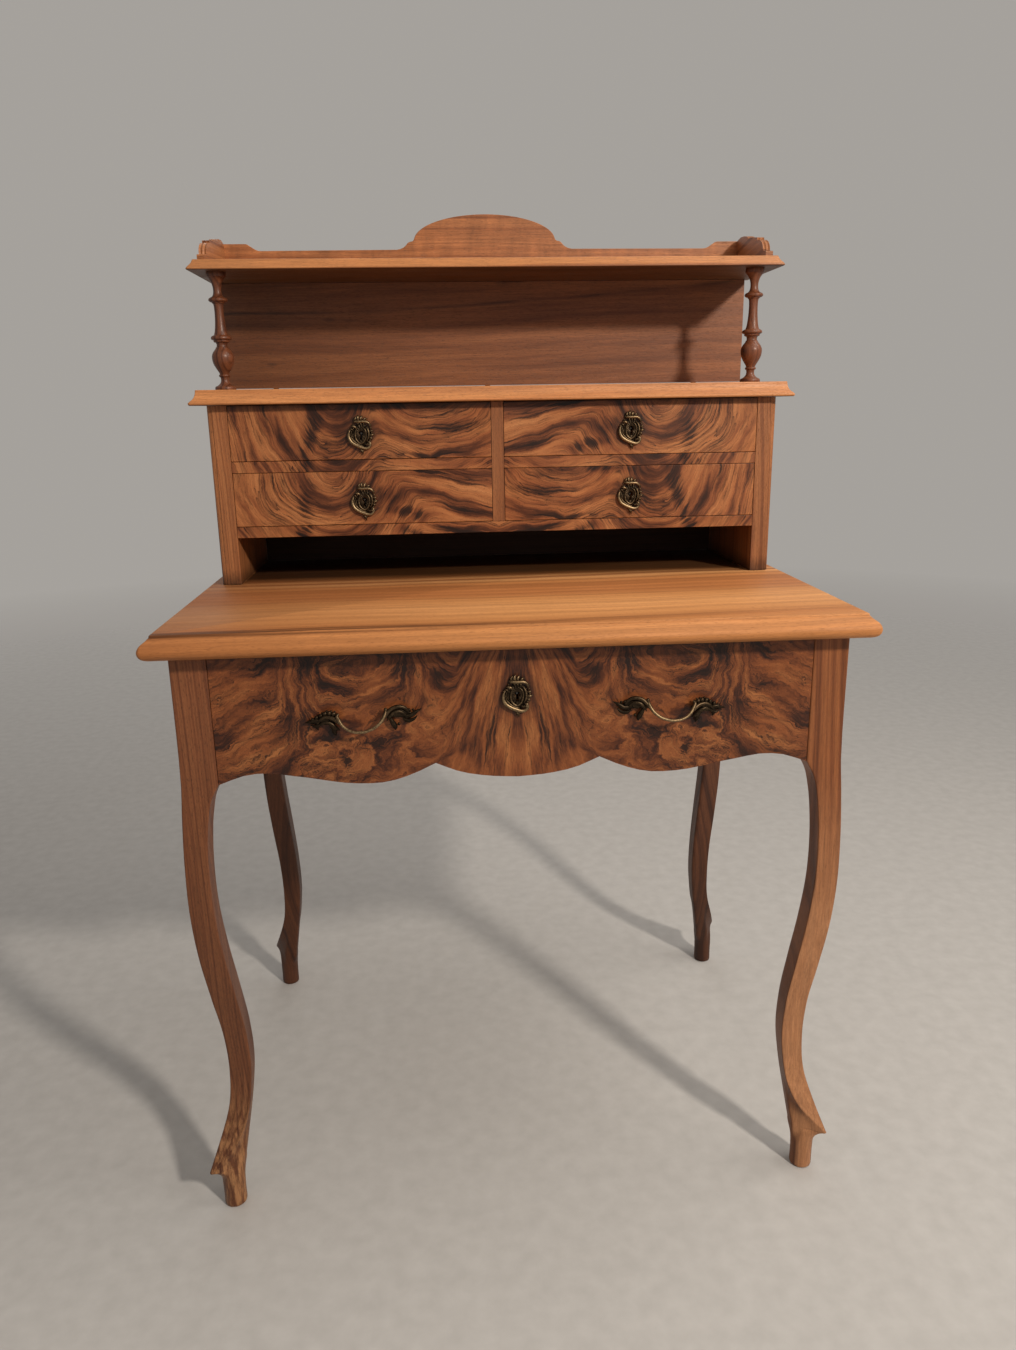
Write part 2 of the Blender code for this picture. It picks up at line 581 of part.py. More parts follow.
def build_main_drawer():
    face = LEG_FRONT + GAP
    box_front = face + MAIN_FRONT_THICKNESS + GAP
    slide = add_slide("main_drawer_slide", (0.0, face, RUNNER_TOP))
    case_top = TOP_RAIL_BOTTOM - 0.0005
    half = POST_INNER - PLAY
    top = TABLE_UNDERSIDE - PLAY

    steps = 48
    stations = sorted([half * (2 * i / steps - 1) for i in range(steps + 1)] + [-CUSP, CUSP])
    edge = [(x, scalloped_edge(x)) for x in stations]
    front = prism([(-half, top)] + edge + [(half, top)], "y", face, face + MAIN_FRONT_THICKNESS)
    key_z = case_top - KEYHOLE_DROP
    front = cut(front, keyhole_cutter(0.0, key_z, (face - 0.01, box_front + 0.01)))
    add_part("main_drawer_front", front, BURR_WALNUT, slide, roughness=0.35)

    bottom_z = RUNNER_TOP + PLAY
    for side_name, side in (("left", -1), ("right", 1)):
        faces = (side * (MAIN_BOX_HALF - MAIN_BOX_BOARD), side * MAIN_BOX_HALF)
        add_part(f"main_drawer_side_{side_name}", board(faces, (box_front, MAIN_BOX_BACK), (bottom_z, MAIN_BOX_TOP)),
                 DRAWER_PINE, slide, roughness=0.6)
    inside = MAIN_BOX_HALF - MAIN_BOX_BOARD - GAP
    panel_low = bottom_z + 0.004
    panel_high = panel_low + MAIN_BOTTOM_THICKNESS
    add_part("main_drawer_bottom", board((-inside, inside), (box_front, MAIN_BOX_BACK), (panel_low, panel_high)),
             DRAWER_PINE, slide, roughness=0.6)
    add_part("main_drawer_back", board((-inside, inside), (MAIN_BOX_BACK - MAIN_BOX_BOARD, MAIN_BOX_BACK),
                                       (panel_high + GAP, MAIN_BOX_TOP - 0.005)),
             DRAWER_PINE, slide, roughness=0.6)

    add_lock_set("main", slide, 0.0, face, MAIN_FRONT_THICKNESS, case_top)
    for side_name, side in (("left", -1), ("right", 1)):
        add_brass(f"main_handle_{side_name}", handle_mesh(side, face), slide)


def build_small_drawer(prefix, side, opening):
    """One cabinet drawer; opening is the (low, high) clear height between its boards."""
    face = CABINET_FRONT + GAP
    box_front = face + SMALL_FRONT_THICKNESS + GAP
    near, far = DIVIDER_HALF + PLAY, CABINET_INNER - PLAY
    x = side * (near + far) / 2
    low, high = opening[0] + PLAY, opening[1] - PLAY
    slide = add_slide(f"{prefix}_drawer_slide", (x, face, low))

    front = board((side * near, side * far), (face, face + SMALL_FRONT_THICKNESS), (low, high))
    case_top = high - 0.0005
    key_z = case_top - KEYHOLE_DROP
    front = cut(front, keyhole_cutter(x, key_z, (face - 0.01, box_front + 0.01)))
    add_part(f"{prefix}_drawer_front", front, BURR_WALNUT, slide, roughness=0.35)

    # Box: two sides and a back in one U, open to the front board
    outer, inner = (far - near) / 2 - 0.0005, (far - near) / 2 - 0.0005 - SMALL_BOX_BOARD
    back_inner = SMALL_BOX_BACK - SMALL_BOX_BOARD
    outline = [(x - outer, box_front), (x - inner, box_front), (x - inner, back_inner), (x + inner, back_inner),
               (x + inner, box_front), (x + outer, box_front), (x + outer, SMALL_BOX_BACK),
               (x - outer, SMALL_BOX_BACK)]
    add_part(f"{prefix}_drawer_box", prism(outline, "z", low, high - 0.006), DRAWER_PINE, slide, roughness=0.6)
    panel = board((x - inner + GAP, x + inner - GAP), (box_front, back_inner - GAP),
                  (low + 0.002, low + 0.002 + SMALL_BOTTOM_THICKNESS))
    add_part(f"{prefix}_drawer_bottom", panel, DRAWER_PINE, slide, roughness=0.6)
    add_lock_set(prefix, slide, x, face, SMALL_FRONT_THICKNESS, case_top)


def main():
    for obj in list(bpy.data.objects):
        bpy.data.objects.remove(obj)
    build_base()
    build_cabinet()
    build_display_shelf()
    build_main_drawer()
    rows = {"upper": (MIDDLE_BOARD[1], MAIN_SHELF[0]), "lower": (FLOOR_BOARD[1], MIDDLE_BOARD[0])}
    for row, opening in rows.items():
        for side_name, side in (("left", -1), ("right", 1)):
            build_small_drawer(f"{row}_{side_name}", side, opening)


main()
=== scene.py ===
"""Looks of the secretary desk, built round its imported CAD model, in metres and in the desk's own frame."""

import math

import bmesh
import bpy
import numpy as np
from mathutils import Matrix, Vector


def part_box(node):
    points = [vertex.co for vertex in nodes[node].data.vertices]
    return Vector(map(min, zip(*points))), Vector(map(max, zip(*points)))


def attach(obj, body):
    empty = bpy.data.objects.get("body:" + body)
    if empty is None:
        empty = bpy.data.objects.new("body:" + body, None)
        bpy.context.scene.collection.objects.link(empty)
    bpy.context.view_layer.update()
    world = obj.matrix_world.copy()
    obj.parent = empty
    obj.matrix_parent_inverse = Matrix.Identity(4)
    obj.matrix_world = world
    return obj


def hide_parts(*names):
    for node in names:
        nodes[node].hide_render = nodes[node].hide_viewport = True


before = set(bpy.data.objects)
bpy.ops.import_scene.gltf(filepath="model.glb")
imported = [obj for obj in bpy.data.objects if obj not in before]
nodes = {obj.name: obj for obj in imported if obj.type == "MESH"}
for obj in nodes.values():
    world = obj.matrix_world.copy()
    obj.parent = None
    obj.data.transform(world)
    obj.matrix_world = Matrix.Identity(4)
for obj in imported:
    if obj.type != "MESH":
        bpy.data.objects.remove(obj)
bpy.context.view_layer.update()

SIDES = (("left", -1), ("right", 1))
SMALL_DRAWERS = ("upper_left", "upper_right", "lower_left", "lower_right")
AIR = 0.0003            # between two pieces that touch
COAT_ROUGHNESS = 0.28


def mm(rows):
    """Rows of millimetres, which may be nested, as metres."""
    return [mm(row) if isinstance(row, (list, tuple)) else row / 1000 for row in rows]


# -------- node graphs

class Number:
    """A number that varies over a material: arithmetic on it adds math nodes to its graph."""

    def __init__(self, graph, socket):
        self.graph, self.socket = graph, socket

    def __add__(self, other):
        return self.graph.math("ADD", self, other)

    def __sub__(self, other):
        return self.graph.math("SUBTRACT", self, other)

    def __rsub__(self, other):
        return self.graph.math("SUBTRACT", other, self)

    def __mul__(self, other):
        return self.graph.math("MULTIPLY", self, other)

    def __truediv__(self, other):
        return self.graph.math("DIVIDE", self, other)

    def __pow__(self, other):
        return self.graph.math("POWER", self, other)

    def __abs__(self):
        return self.graph.math("ABSOLUTE", self)


class Graph:
    """A material under construction: each method adds a node and gives its output."""

    def __init__(self, name):
        self.material = bpy.data.materials.new(name)
        self.material.use_nodes = True
        self.tree = self.material.node_tree
        self.shader = self.tree.nodes["Principled BSDF"]
        self.place = self.tree.nodes.new("ShaderNodeTexCoord").outputs["Object"]
        self.xyz = self.split(self.place)

    def feed(self, socket, value):
        value = value.socket if isinstance(value, Number) else value
        if isinstance(value, bpy.types.NodeSocket):
            self.tree.links.new(value, socket)
        else:
            socket.default_value = value

    def node(self, kind, *values, **settings):
        made = self.tree.nodes.new(kind)
        for key, value in settings.items():
            setattr(made, key, value)
        for socket, value in zip(made.inputs, values):
            self.feed(socket, value)
        return made

    def math(self, operation, *values):
        return Number(self, self.node("ShaderNodeMath", *values, operation=operation).outputs[0])

    def stretch(self, vector, *factors):
        return self.node("ShaderNodeVectorMath", vector, factors, operation="MULTIPLY").outputs[0]

    def shift(self, vector, *offsets):
        return self.node("ShaderNodeVectorMath", vector, offsets, operation="ADD").outputs[0]

    def join(self, x, y, z):
        return self.node("ShaderNodeCombineXYZ", x, y, z).outputs[0]

    def split(self, vector):
        return [Number(self, socket) for socket in self.node("ShaderNodeSeparateXYZ", vector).outputs]

    def noise(self, place, scale, detail=2.0, rough=0.5, output="Fac"):
        """Noise at a place; along a single number, everything with the same number has the same shade."""
        made = self.node("ShaderNodeTexNoise", noise_dimensions="1D" if isinstance(place, Number) else "3D")
        for key, value in (("W" if isinstance(place, Number) else "Vector", place), ("Scale", scale),
                           ("Detail", detail), ("Roughness", rough)):
            self.feed(made.inputs[key], value)
        return Number(self, made.outputs[output])

    def cloud(self, place, stretches, detail=2.0, rough=0.5):
        """Noise squeezed or drawn out along each axis."""
        return self.noise(self.stretch(place, *stretches), 1.0, detail, rough)

    def drifts(self, place, scale, detail=2.0, rough=0.5):
        """Three independent noises."""
        return self.split(self.noise(place, scale, detail, rough, "Color"))

    def span(self, value, low, high, to_low=0.0, to_high=1.0):
        return Number(self, self.node("ShaderNodeMapRange", value, low, high, to_low, to_high).outputs[0])

    def between(self, factor, first, second):
        made = self.node("ShaderNodeMix", factor, data_type="FLOAT")
        self.feed(made.inputs[2], first)
        self.feed(made.inputs[3], second)
        return Number(self, made.outputs[0])

    def ramp(self, value, stops):
        made = self.node("ShaderNodeValToRGB", value)
        band = made.color_ramp
        band.elements.remove(band.elements[1])
        band.elements[0].position = stops[0][0]
        band.elements[0].color = (*stops[0][1], 1.0)
        for position, colour in stops[1:]:
            band.elements.new(position).color = (*colour, 1.0)
        return made.outputs["Color"]

    def mix(self, factor, first, second, blend="MIX"):
        made = self.node("ShaderNodeMix", data_type="RGBA", blend_type=blend)
        for index, value in ((0, factor), (6, first), (7, second)):
            if isinstance(value, tuple):
                value = (*value, 1.0)
            self.feed(made.inputs[index], value)
        return made.outputs[2]

    def shade(self, colour, value):
        """A colour made darker or lighter by a number."""
        return self.mix(1.0, colour, self.join(value, value, value), "MULTIPLY")

    def vary(self, colour, cloud, low, high):
        """A colour made darker where a noise is low and lighter where it is high."""
        return self.shade(colour, self.span(cloud, 0.3, 0.7, low, high))

    def surface(self, colour, roughness, height=None, bump=0.0003, strength=0.4, metallic=0.0, coat=0.0,
                specular=0.34):
        for key, value in (("Base Color", colour), ("Roughness", roughness), ("Metallic", metallic),
                           ("Coat Weight", coat), ("Coat Roughness", COAT_ROUGHNESS),
                           ("Specular IOR Level", specular)):
            self.feed(self.shader.inputs[key], value)
        if height is not None:
            bumps = self.node("ShaderNodeBump")
            for key, value in (("Strength", strength), ("Distance", bump), ("Height", height)):
                self.feed(bumps.inputs[key], value)
            self.feed(self.shader.inputs["Normal"], bumps.outputs[0])
        return self.material


# -------- wood

# Tones run from the dark late wood through the body to the light early wood
BODY_TONES = ((0.130, 0.039, 0.013), (0.265, 0.092, 0.031), (0.390, 0.152, 0.055))
SHELF_TONES = ((0.240, 0.080, 0.025), (0.395, 0.150, 0.050), (0.500, 0.210, 0.076))
RED_TONES = ((0.052, 0.014, 0.006), (0.112, 0.034, 0.014), (0.185, 0.060, 0.025))
DARK_LEG_TONES = ((0.085, 0.025, 0.009), (0.160, 0.051, 0.019), (0.225, 0.080, 0.030))
# A darker copy of the dark leg tones for the rear legs: painted shade, for the shade under the table
SHADED_REAR_LEG_TONES = ((0.050, 0.015, 0.006), (0.096, 0.030, 0.011), (0.140, 0.047, 0.018))
LEG_TONES = ((0.100, 0.028, 0.009), (0.190, 0.058, 0.018), (0.280, 0.096, 0.031))
PINE_TONES = ((0.330, 0.190, 0.085), (0.500, 0.320, 0.155), (0.600, 0.410, 0.215))


def fibres(g, colour, spot, sizes, contrast, open_from, pore, pore_tone, relief=0.6):
    """Fine fibres and open pores over a wood's colour; gives the new colour and the surface's height."""
    fibre_along, fibre_across, pore_along, pore_across = sizes
    fibre = g.cloud(spot, (fibre_along, fibre_across, fibre_across), 3.0, 0.65)
    colour = g.vary(colour, fibre, *contrast)
    pores = g.span(g.cloud(spot, (pore_along, pore_across, pore_across), 1.0), open_from, 0.70)
    return g.mix(pores * pore, colour, pore_tone), fibre * relief - pores


def wood(name, grain, seed, tones, rings=55.0, slope=0.03, pith=0.10, pore=0.45, gloss=0.44, coat=0.04,
         grime_and_shade_at_foot=None, bleached=None, shades=(), mottled=False):
    """Straight-grained timber cut from one log: growth rings round a pith, clouds, fibres and open pores.

    shades are (axis, start, end, factor): painted shade that darkens it along an axis. bleached is (tint,
    where it ends above, reach, how far a face has to look forwards, patchiness): a pale tint on low faces
    that look forwards, worn-through finish on a toe and, on the right front leg, fading together with painted
    light. grime_and_shade_at_foot is (height, reach): a darkening where a foot meets the surface below, dirt
    together with painted shade.
    """
    g = Graph(name)
    x, y, z = g.xyz
    along, a, b = {"x": (x, y, z), "y": (y, x, z), "z": (z, x, y)}[grain]
    spot = g.shift(g.join(along, a, b), seed * 1.71, seed * 0.83, seed * 1.37)
    drift_a, drift_b, _ = g.drifts(g.stretch(spot, 1.3, 7.0, 7.0), 1.0)
    across = along * slope + a + drift_a * 0.05
    deep = drift_b * 0.05 + (b + pith)
    radius = g.math("SQRT", across ** 2.0 + deep ** 2.0)
    ring = g.noise(radius + seed * 0.37, rings, 4.0, 0.62)
    dark, body, light = tones
    colour = g.ramp(ring, [(0.26, dark), (0.42, body), (0.57, light), (0.72, body), (0.82, dark)])
    cloud = g.cloud(spot, (1.6, 9.0, 9.0), 3.0)
    colour = g.vary(colour, cloud, 0.78, 1.16)
    for axis, start, end, factor in shades:
        colour = g.shade(colour, g.span(g.xyz["xyz".index(axis)], start, end, 1.0, factor))
    # A pale tint on low faces that look forwards: worn-through finish on the left front toe, and on the right
    # front leg fading together with painted light on its front face
    if bleached:
        tint, below, reach, facing, patches = bleached
        _, forwards, _ = g.split(g.node("ShaderNodeNewGeometry").outputs["Normal"])
        worn = g.span(z, below, below - reach) * g.span(forwards, -facing, -facing - 0.25, 0.0, 0.78)
        patchy = g.span(g.cloud(g.place, (190.0, 190.0, 26.0), 4.0, 0.6), 0.42, 0.60)
        colour = g.mix(worn * g.span(patchy, 0.0, 1.0, 1.0 - patches, 1.0), colour, tint)
    colour, height = fibres(g, colour, spot, (22.0, 620.0, 190.0, 2300.0), (0.78, 1.18), 0.58, pore,
                            tuple(0.25 * v for v in dark))
    # Darker towards a foot where it meets the surface below: dirt together with painted shade in the corner
    if grime_and_shade_at_foot:
        foot, reach = grime_and_shade_at_foot
        ragged_height = g.noise(g.place, 160.0, 3.0) * 0.010 + z
        colour = g.shade(colour, g.span(ragged_height, foot + 0.004, foot + 0.004 + reach, 0.22, 1.0))
    if mottled:
        mottle = g.cloud(g.place, (60.0, 1.0, 16.0), 4.0)
        colour = g.vary(colour, mottle, 0.82, 1.26)
    wear = g.cloud(spot, (9.0, 22.0, 22.0), 3.0)
    return g.surface(colour, g.span(wear, 0.3, 0.7, gloss - 0.06, gloss + 0.12), height, coat=coat)


def pine(name, grain, seed):
    return wood(name, grain, seed, PINE_TONES, pore=0.1, gloss=0.6, coat=0.0)


def eye(g, u, v, middle, radii, tilt=0.0):
    """How many times further than its first ring a point lies from an eye in the figure."""
    cosine, sine = math.cos(math.radians(tilt)), math.sin(math.radians(tilt))
    du, dv = u - middle[0], v - middle[1]
    first, second = du * cosine + dv * sine, dv * cosine - du * sine
    return g.math("SQRT", abs(first / radii[0]) ** 2.0 + abs(second / radii[1]) ** 2.0)


def around(g, blend, *distances):
    """Rings round several eyes, which flow together between them."""
    nearest = distances[0]
    for distance in distances[1:]:
        nearest = g.math("SMOOTH_MIN", nearest, distance, blend)
    return nearest


def blots(g, u, v, places):
    """One in the middle of each dark blot and nought away from them.

    A place is its middle and its radii along and across, in millimetres, and its tilt.
    """
    strongest = 0.0
    for *sizes, tilt in places:
        along, up, long, short = mm(sizes)
        here = g.span(eye(g, u, v, (along, up), (long, short), tilt), 0.1, 1.25, 1.0, 0.0)
        strongest = g.math("MAXIMUM", here, strongest)
    return strongest


# Each figure gives the number its rings and streaks follow, and its dark blots; u is outwards and v up

def hook_figure(g, u, v):
    """A hook near the outer end and a wide bowl by the divider."""
    field = around(g, 0.5, eye(g, u, v, (0.216, 0.078), (0.034, 0.044)),
                   eye(g, u, v, (0.084, 0.090), (0.062, 0.042)))
    dark = blots(g, u, v, [(212, 26, 30, 12, -10), (60, 40, 34, 10, -6),
                           (250, 30, 12, 50, 12), (150, 66, 60, 8, -8),
                           (100, 4, 90, 5, 0)])
    return field, dark


def leaf_figure(g, u, v):
    """A bowl near the outer end; by the divider long streaks fall over a pale leaf."""
    streaks = (u * 0.22 - v) * 42.0 + 3.6
    field = around(g, 0.6, eye(g, u, v, (0.222, 0.074), (0.036, 0.034)), streaks)
    dark = blots(g, u, v, [(80, 62, 80, 9, 12), (120, 12, 40, 9, 14),
                           (145, 36, 24, 16, 14), (262, 24, 10, 30, 8),
                           (50, 16, 40, 7, 12)])
    return field, dark


def crotch_figure(g, u, v):
    """A fan from above the middle, burr eyes round the handle and slanting streaks at the outer end."""
    fan = g.math("ARCTAN2", u, 0.222 - v) * 8.5
    cloud = g.noise(g.join(u, 0.3, u * 0.5 + v * 2.1), 17.0, 3.0, 0.55)
    burr = around(g, 0.8, eye(g, u, v, (0.184, 0.136), (0.054, 0.022), -8.0), cloud * 6.0)
    streaks = (u * 0.46 + v) * 27.0
    field = g.between(g.span(u, 0.070, 0.135), fan, burr)
    field = g.between(g.span(u, 0.215, 0.265), field, streaks)
    dark = blots(g, u, v, [(228, 138, 22, 20, 0), (205, 112, 36, 10, 12),
                           (245, 70, 30, 14, -35), (212, 58, 40, 10, -12),
                           (124, 128, 22, 16, -40), (90, 122, 20, 34, -28),
                           (165, 40, 30, 10, 0), (160, 150, 120, 7, 0),
                           (30, 50, 7, 50, 12), (276, 146, 40, 12, -10),
                           (14, 140, 10, 16, 0), (262, 78, 16, 5, 0),
                           (198, 26, 18, 8, 20)])
    return field, dark


# From the darkest streaks through brown and orange to the palest patches
FIGURE_TONES = ((0.034, 0.009, 0.003), (0.112, 0.032, 0.011), (0.255, 0.081, 0.027), (0.370, 0.134, 0.045),
                (0.480, 0.200, 0.074))
CROTCH_TONES = ((0.020, 0.006, 0.003), (0.060, 0.016, 0.006), (0.138, 0.039, 0.012), (0.225, 0.068, 0.020),
                (0.330, 0.120, 0.038))
TONE_STOPS = (0.30, 0.38, 0.45, 0.54, 0.68)
INK = (0.008, 0.003, 0.002)
GROUND = (0.30, 0.15, 0.065)
VENEER_DEPTH = 0.0012
# Inked lines, from the widest apart: how close, where in the noise, the shadow's width and how dark
INKED_LINES = ((3.6, 17.0, 0.12, 0.96), (8.0, 29.0, 0.11, 0.85), (19.0, 53.0, 0.10, 0.62))


def veneer(name, figure, low, seed, tones, front, reaches=(0.026, 0.007), length=6.0, calm_middle=1.0,
           keyhole=None, shadowed_top=None):
    """Figured veneer, matched about the desk's centre plane; behind the veneer's depth the ground is plain.

    reaches are how far the figure's wide and small curls stray, which calm_middle lessens at the centre.
    """
    g = Graph(name)
    x, y, z = g.xyz
    out, up = abs(x), z - low
    spot = g.shift(g.join(out, 0.0, up), seed * 2.3, seed, seed * 1.7)
    calm = g.span(out, 0.050, 0.130, calm_middle, 1.0)
    u, v = out, up
    for drift, reach in zip((g.drifts(spot, 15.0, 1.0), g.drifts(spot, 55.0, 4.0, 0.62)), reaches):
        reach = calm * reach
        u = (drift[0] - 0.5) * reach + u
        v = (drift[1] - 0.5) * reach + v
    field, dark = figure(g, u, v)

    def flow(across, along, detail, rough, offset):
        """Noise drawn out along the figure, so that streaks swell, thin out and end."""
        return g.noise(g.join(field * across + offset, u * along, v * along), 1.0, detail, rough)

    body = flow(1.6, length, 5.0, 0.60, seed)
    colour = g.ramp(dark * -0.07 + body, list(zip(TONE_STOPS, tones)))
    drawn = dark * 0.5 + g.span(g.noise(spot, 14.0), 0.40, 0.58, 0.15, 0.95)
    drawn = drawn * g.span(calm, 0.3, 1.0, 0.45, 1.0)
    drawn = drawn * g.span(flow(30.0, 42.0, 3.0, 0.6, 0.0), 0.40, 0.56, 0.25, 1.0)
    for across, offset, width, ink in INKED_LINES:
        edge = flow(across, length * 1.2, 2.0, 0.5, offset + seed)
        behind = g.math("GREATER_THAN", edge, 0.5) * drawn
        colour = g.mix(g.span(edge, 0.5, 0.5 + width, 0.75 * ink, 0.0) * behind, colour, tones[0])
        colour = g.mix(g.span(edge, 0.5, 0.5 + 0.2 * width, ink, 0.0) * behind, colour, INK)
    smoke = dark * 0.17 + flow(7.0, 2.0 * length, 6.0, 0.62, 67.0 + seed)
    colour = g.mix(g.span(smoke, 0.58, 0.70, 0.0, 0.88), colour, INK)
    fibre = flow(34.0, 4.0 * length, 4.0, 0.7, 5.0)
    colour = g.vary(colour, fibre, 0.72, 1.26)
    fleck = g.noise(g.stretch(spot, 1.0, 1.0, 0.6), 520.0, 2.0, 0.7)
    colour = g.mix(g.span(fleck, 0.58, 0.72, 0.0, 0.5), colour, tuple(0.5 * c for c in tones[0]))
    # Darker round the keyhole: dirt from use together with painted shade round the escutcheon
    if keyhole:
        worn = g.math("SQRT", (out - keyhole[0]) ** 2.0 + (z - keyhole[1]) ** 2.0)
        colour = g.mix(g.span(worn, 0.010, 0.030, 0.80, 0.0), colour, INK)
    # Painted shadow: the top of the front darkens under the shelf or table top above it
    if shadowed_top:
        ragged_height = g.cloud(spot, (60.0, 1.0, 200.0), 3.0) * 0.008 + z
        colour = g.shade(colour, g.span(ragged_height, shadowed_top - 0.006, shadowed_top + 0.003, 1.0, 0.38))
    ground = g.vary(GROUND, g.cloud(g.place, (9, 240, 240)), 0.7, 1.1)
    colour = g.mix(g.math("GREATER_THAN", y, front + VENEER_DEPTH), colour, ground)
    roughness = g.span(g.noise(spot, 9.0, 3.0), 0.3, 0.7, 0.31, 0.48)
    return g.surface(colour, roughness, fleck, bump=0.0002, strength=0.25)


# Place in the table top's banding number, which runs with y and 1.6 times the height
FRONT_STREAK = 0.952
BANDED = (0.900, 1.520)
# From the front edge, where it starts on the moulding's nose, to the back
TABLETOP_ZONES = [(0.00, (0.46, 0.185, 0.060)), (0.06, (0.53, 0.225, 0.077)), (0.10, (0.42, 0.165, 0.053)),
                  (0.16, (0.56, 0.250, 0.088)), (0.24, (0.60, 0.280, 0.104)), (0.30, (0.52, 0.230, 0.080)),
                  (0.36, (0.42, 0.160, 0.052)), (0.46, (0.39, 0.146, 0.046)), (0.52, (0.47, 0.195, 0.065)),
                  (0.545, (0.64, 0.310, 0.120)), (0.565, (0.27, 0.095, 0.030)), (0.580, (0.60, 0.285, 0.108)),
                  (0.600, (0.36, 0.135, 0.043)), (0.64, (0.48, 0.200, 0.066)), (0.80, (0.40, 0.155, 0.050)),
                  (1.00, (0.36, 0.135, 0.043))]
# The part of the table top that the cabinet covers, where painted shade darkens it: half width, rear edge and
# least height
COVERED_HALF, COVERED_REAR, COVERED_TOP = 0.3515, 0.2424, 0.7590


def tabletop_wood():
    """Sun-bleached boards: long bands along the width, dark heart lines at the front and towards the back;
    painted shade at the left end and inside the cabinet.
    """
    g = Graph("bleached walnut")
    x, y, z = g.xyz
    spot = g.shift(g.place, 2.2, 0.7, 0.0)
    drift = g.cloud(spot, (1.4, 5.0, 5.0)) - 0.5
    fine_drift = g.cloud(spot, (5.0, 16.0, 16.0)) - 0.5
    across = z * 1.6 + (x * -0.025 + y + drift * 0.060 + fine_drift * 0.012)
    colour = g.ramp(g.span(across, *BANDED), TABLETOP_ZONES)
    colour = g.vary(colour, g.noise(across, 60.0, 4.0, 0.6), 0.80, 1.16)
    # Painted shade: the left end darkens and reddens, as the light comes from the right
    colour = g.mix(g.span(x, -0.42, -0.02, 0.55, 0.0), colour, (0.290, 0.092, 0.027))
    # Painted shade: inside the cabinet the top darkens from the cabinet's front towards the back, for the
    # shade in the compartment
    covered = g.math("LESS_THAN", abs(x), COVERED_HALF) * g.math("GREATER_THAN", z, COVERED_TOP)
    covered = covered * g.math("LESS_THAN", y, COVERED_REAR)
    colour = g.shade(colour, g.span(covered * y, 0.030, 0.075, 1.0, 0.16))
    heart = g.noise(g.join(x * 4.0, across * 240.0, 0.0), 1.0, 3.0, 0.6)
    near_front = (x + 0.42) ** 2.0 * 0.045 + FRONT_STREAK
    zone = g.span(abs(across - near_front), 0.005, 0.016, 1.0, 0.0)
    left = g.span(x, -0.12, 0.25, 1.0, 0.20)
    streak = g.span(heart, 0.36, 0.52) * (zone * left)
    colour = g.mix(streak * 0.85, colour, (0.080, 0.028, 0.011))
    colour, height = fibres(g, colour, spot, (14.0, 560.0, 150.0, 2100.0), (0.86, 1.11), 0.58, 0.42,
                            (0.10, 0.036, 0.013), 0.5)
    rub = g.cloud(spot, (7.0, 9.0, 9.0), 4.0)
    return g.surface(colour, g.span(rub, 0.3, 0.7, 0.42, 0.60), height, bump=0.0002, specular=0.22)


def back_board_wood():
    """Flat-sawn board with long level grain, a dark heart line that climbs to the right and small knots."""
    g = Graph("back board walnut")
    x, _, z = g.xyz
    spot = g.shift(g.place, 0.0, 31.0, 4.0)
    drift = g.cloud(spot, (1.8, 8.0, 9.0)) - 0.5
    level = x * -0.035 + z + drift * 0.045
    bands = g.noise(g.join(x * 2.0, 0.0, level * 70.0), 1.0, 5.0, 0.6)
    colour = g.ramp(bands, [(0.28, (0.140, 0.043, 0.015)), (0.46, (0.215, 0.073, 0.026)),
                            (0.64, (0.290, 0.105, 0.038))])
    climb = g.math("MAXIMUM", x + 0.30, 0.0) ** 1.6 * 0.075 + 1.1250
    heart = abs(z + drift * 0.010 - climb)
    fade = g.span(g.cloud(spot, (14.0, 30.0, 30.0)), 0.35, 0.6, 0.15, 0.75)
    colour = g.mix(g.span(heart, 0.0005, 0.0035, 1.0, 0.0) * fade, colour, (0.055, 0.020, 0.010))
    knots = g.span(g.cloud(spot, (14.0, 40.0, 40.0), 3.0), 0.66, 0.76, 0.0, 0.7)
    colour = g.mix(knots, colour, (0.070, 0.025, 0.012))
    colour, height = fibres(g, colour, spot, (20.0, 560.0, 170.0, 2100.0), (0.80, 1.16), 0.57, 0.5,
                            (0.035, 0.011, 0.005))
    # Painted shade: the board darkens towards its left end, away from the light on the right
    colour = g.shade(colour, g.span(x, -0.38, -0.05, 0.62, 1.0))
    return g.surface(colour, g.span(drift, -0.2, 0.2, 0.38, 0.52), height, coat=0.1)


# -------- metal

def brass(name, face, hollow=0.0012, proud=0.0052):
    """Cast brass gone brown and green in its hollows and rubbed bright where it stands proud of a face."""
    g = Graph(name)
    height = g.span(g.xyz[1], face - hollow, face - proud)
    grime = g.noise(g.place, 520.0, 4.0, 0.65)
    bright = height * 0.46 + (grime * 0.55 + 0.13)
    colour = g.ramp(bright, [(0.34, (0.007, 0.005, 0.003)), (0.56, (0.028, 0.018, 0.010)),
                             (0.76, (0.095, 0.062, 0.033)), (0.95, (0.330, 0.230, 0.125))])
    return g.surface(colour, g.span(grime, 0.3, 0.7, 0.28, 0.52), grime, bump=0.0002, strength=0.5,
                     metallic=0.85)


def steel(name):
    """Old lock steel: grey-brown with rust freckles."""
    g = Graph(name)
    rust = g.noise(g.place, 260.0, 5.0, 0.7)
    colour = g.ramp(rust, [(0.35, (0.10, 0.095, 0.09)), (0.55, (0.19, 0.17, 0.15)),
                           (0.68, (0.16, 0.075, 0.035))])
    return g.surface(colour, g.span(rust, 0.3, 0.7, 0.35, 0.7), rust, bump=0.0002, metallic=0.75)


# -------- meshes

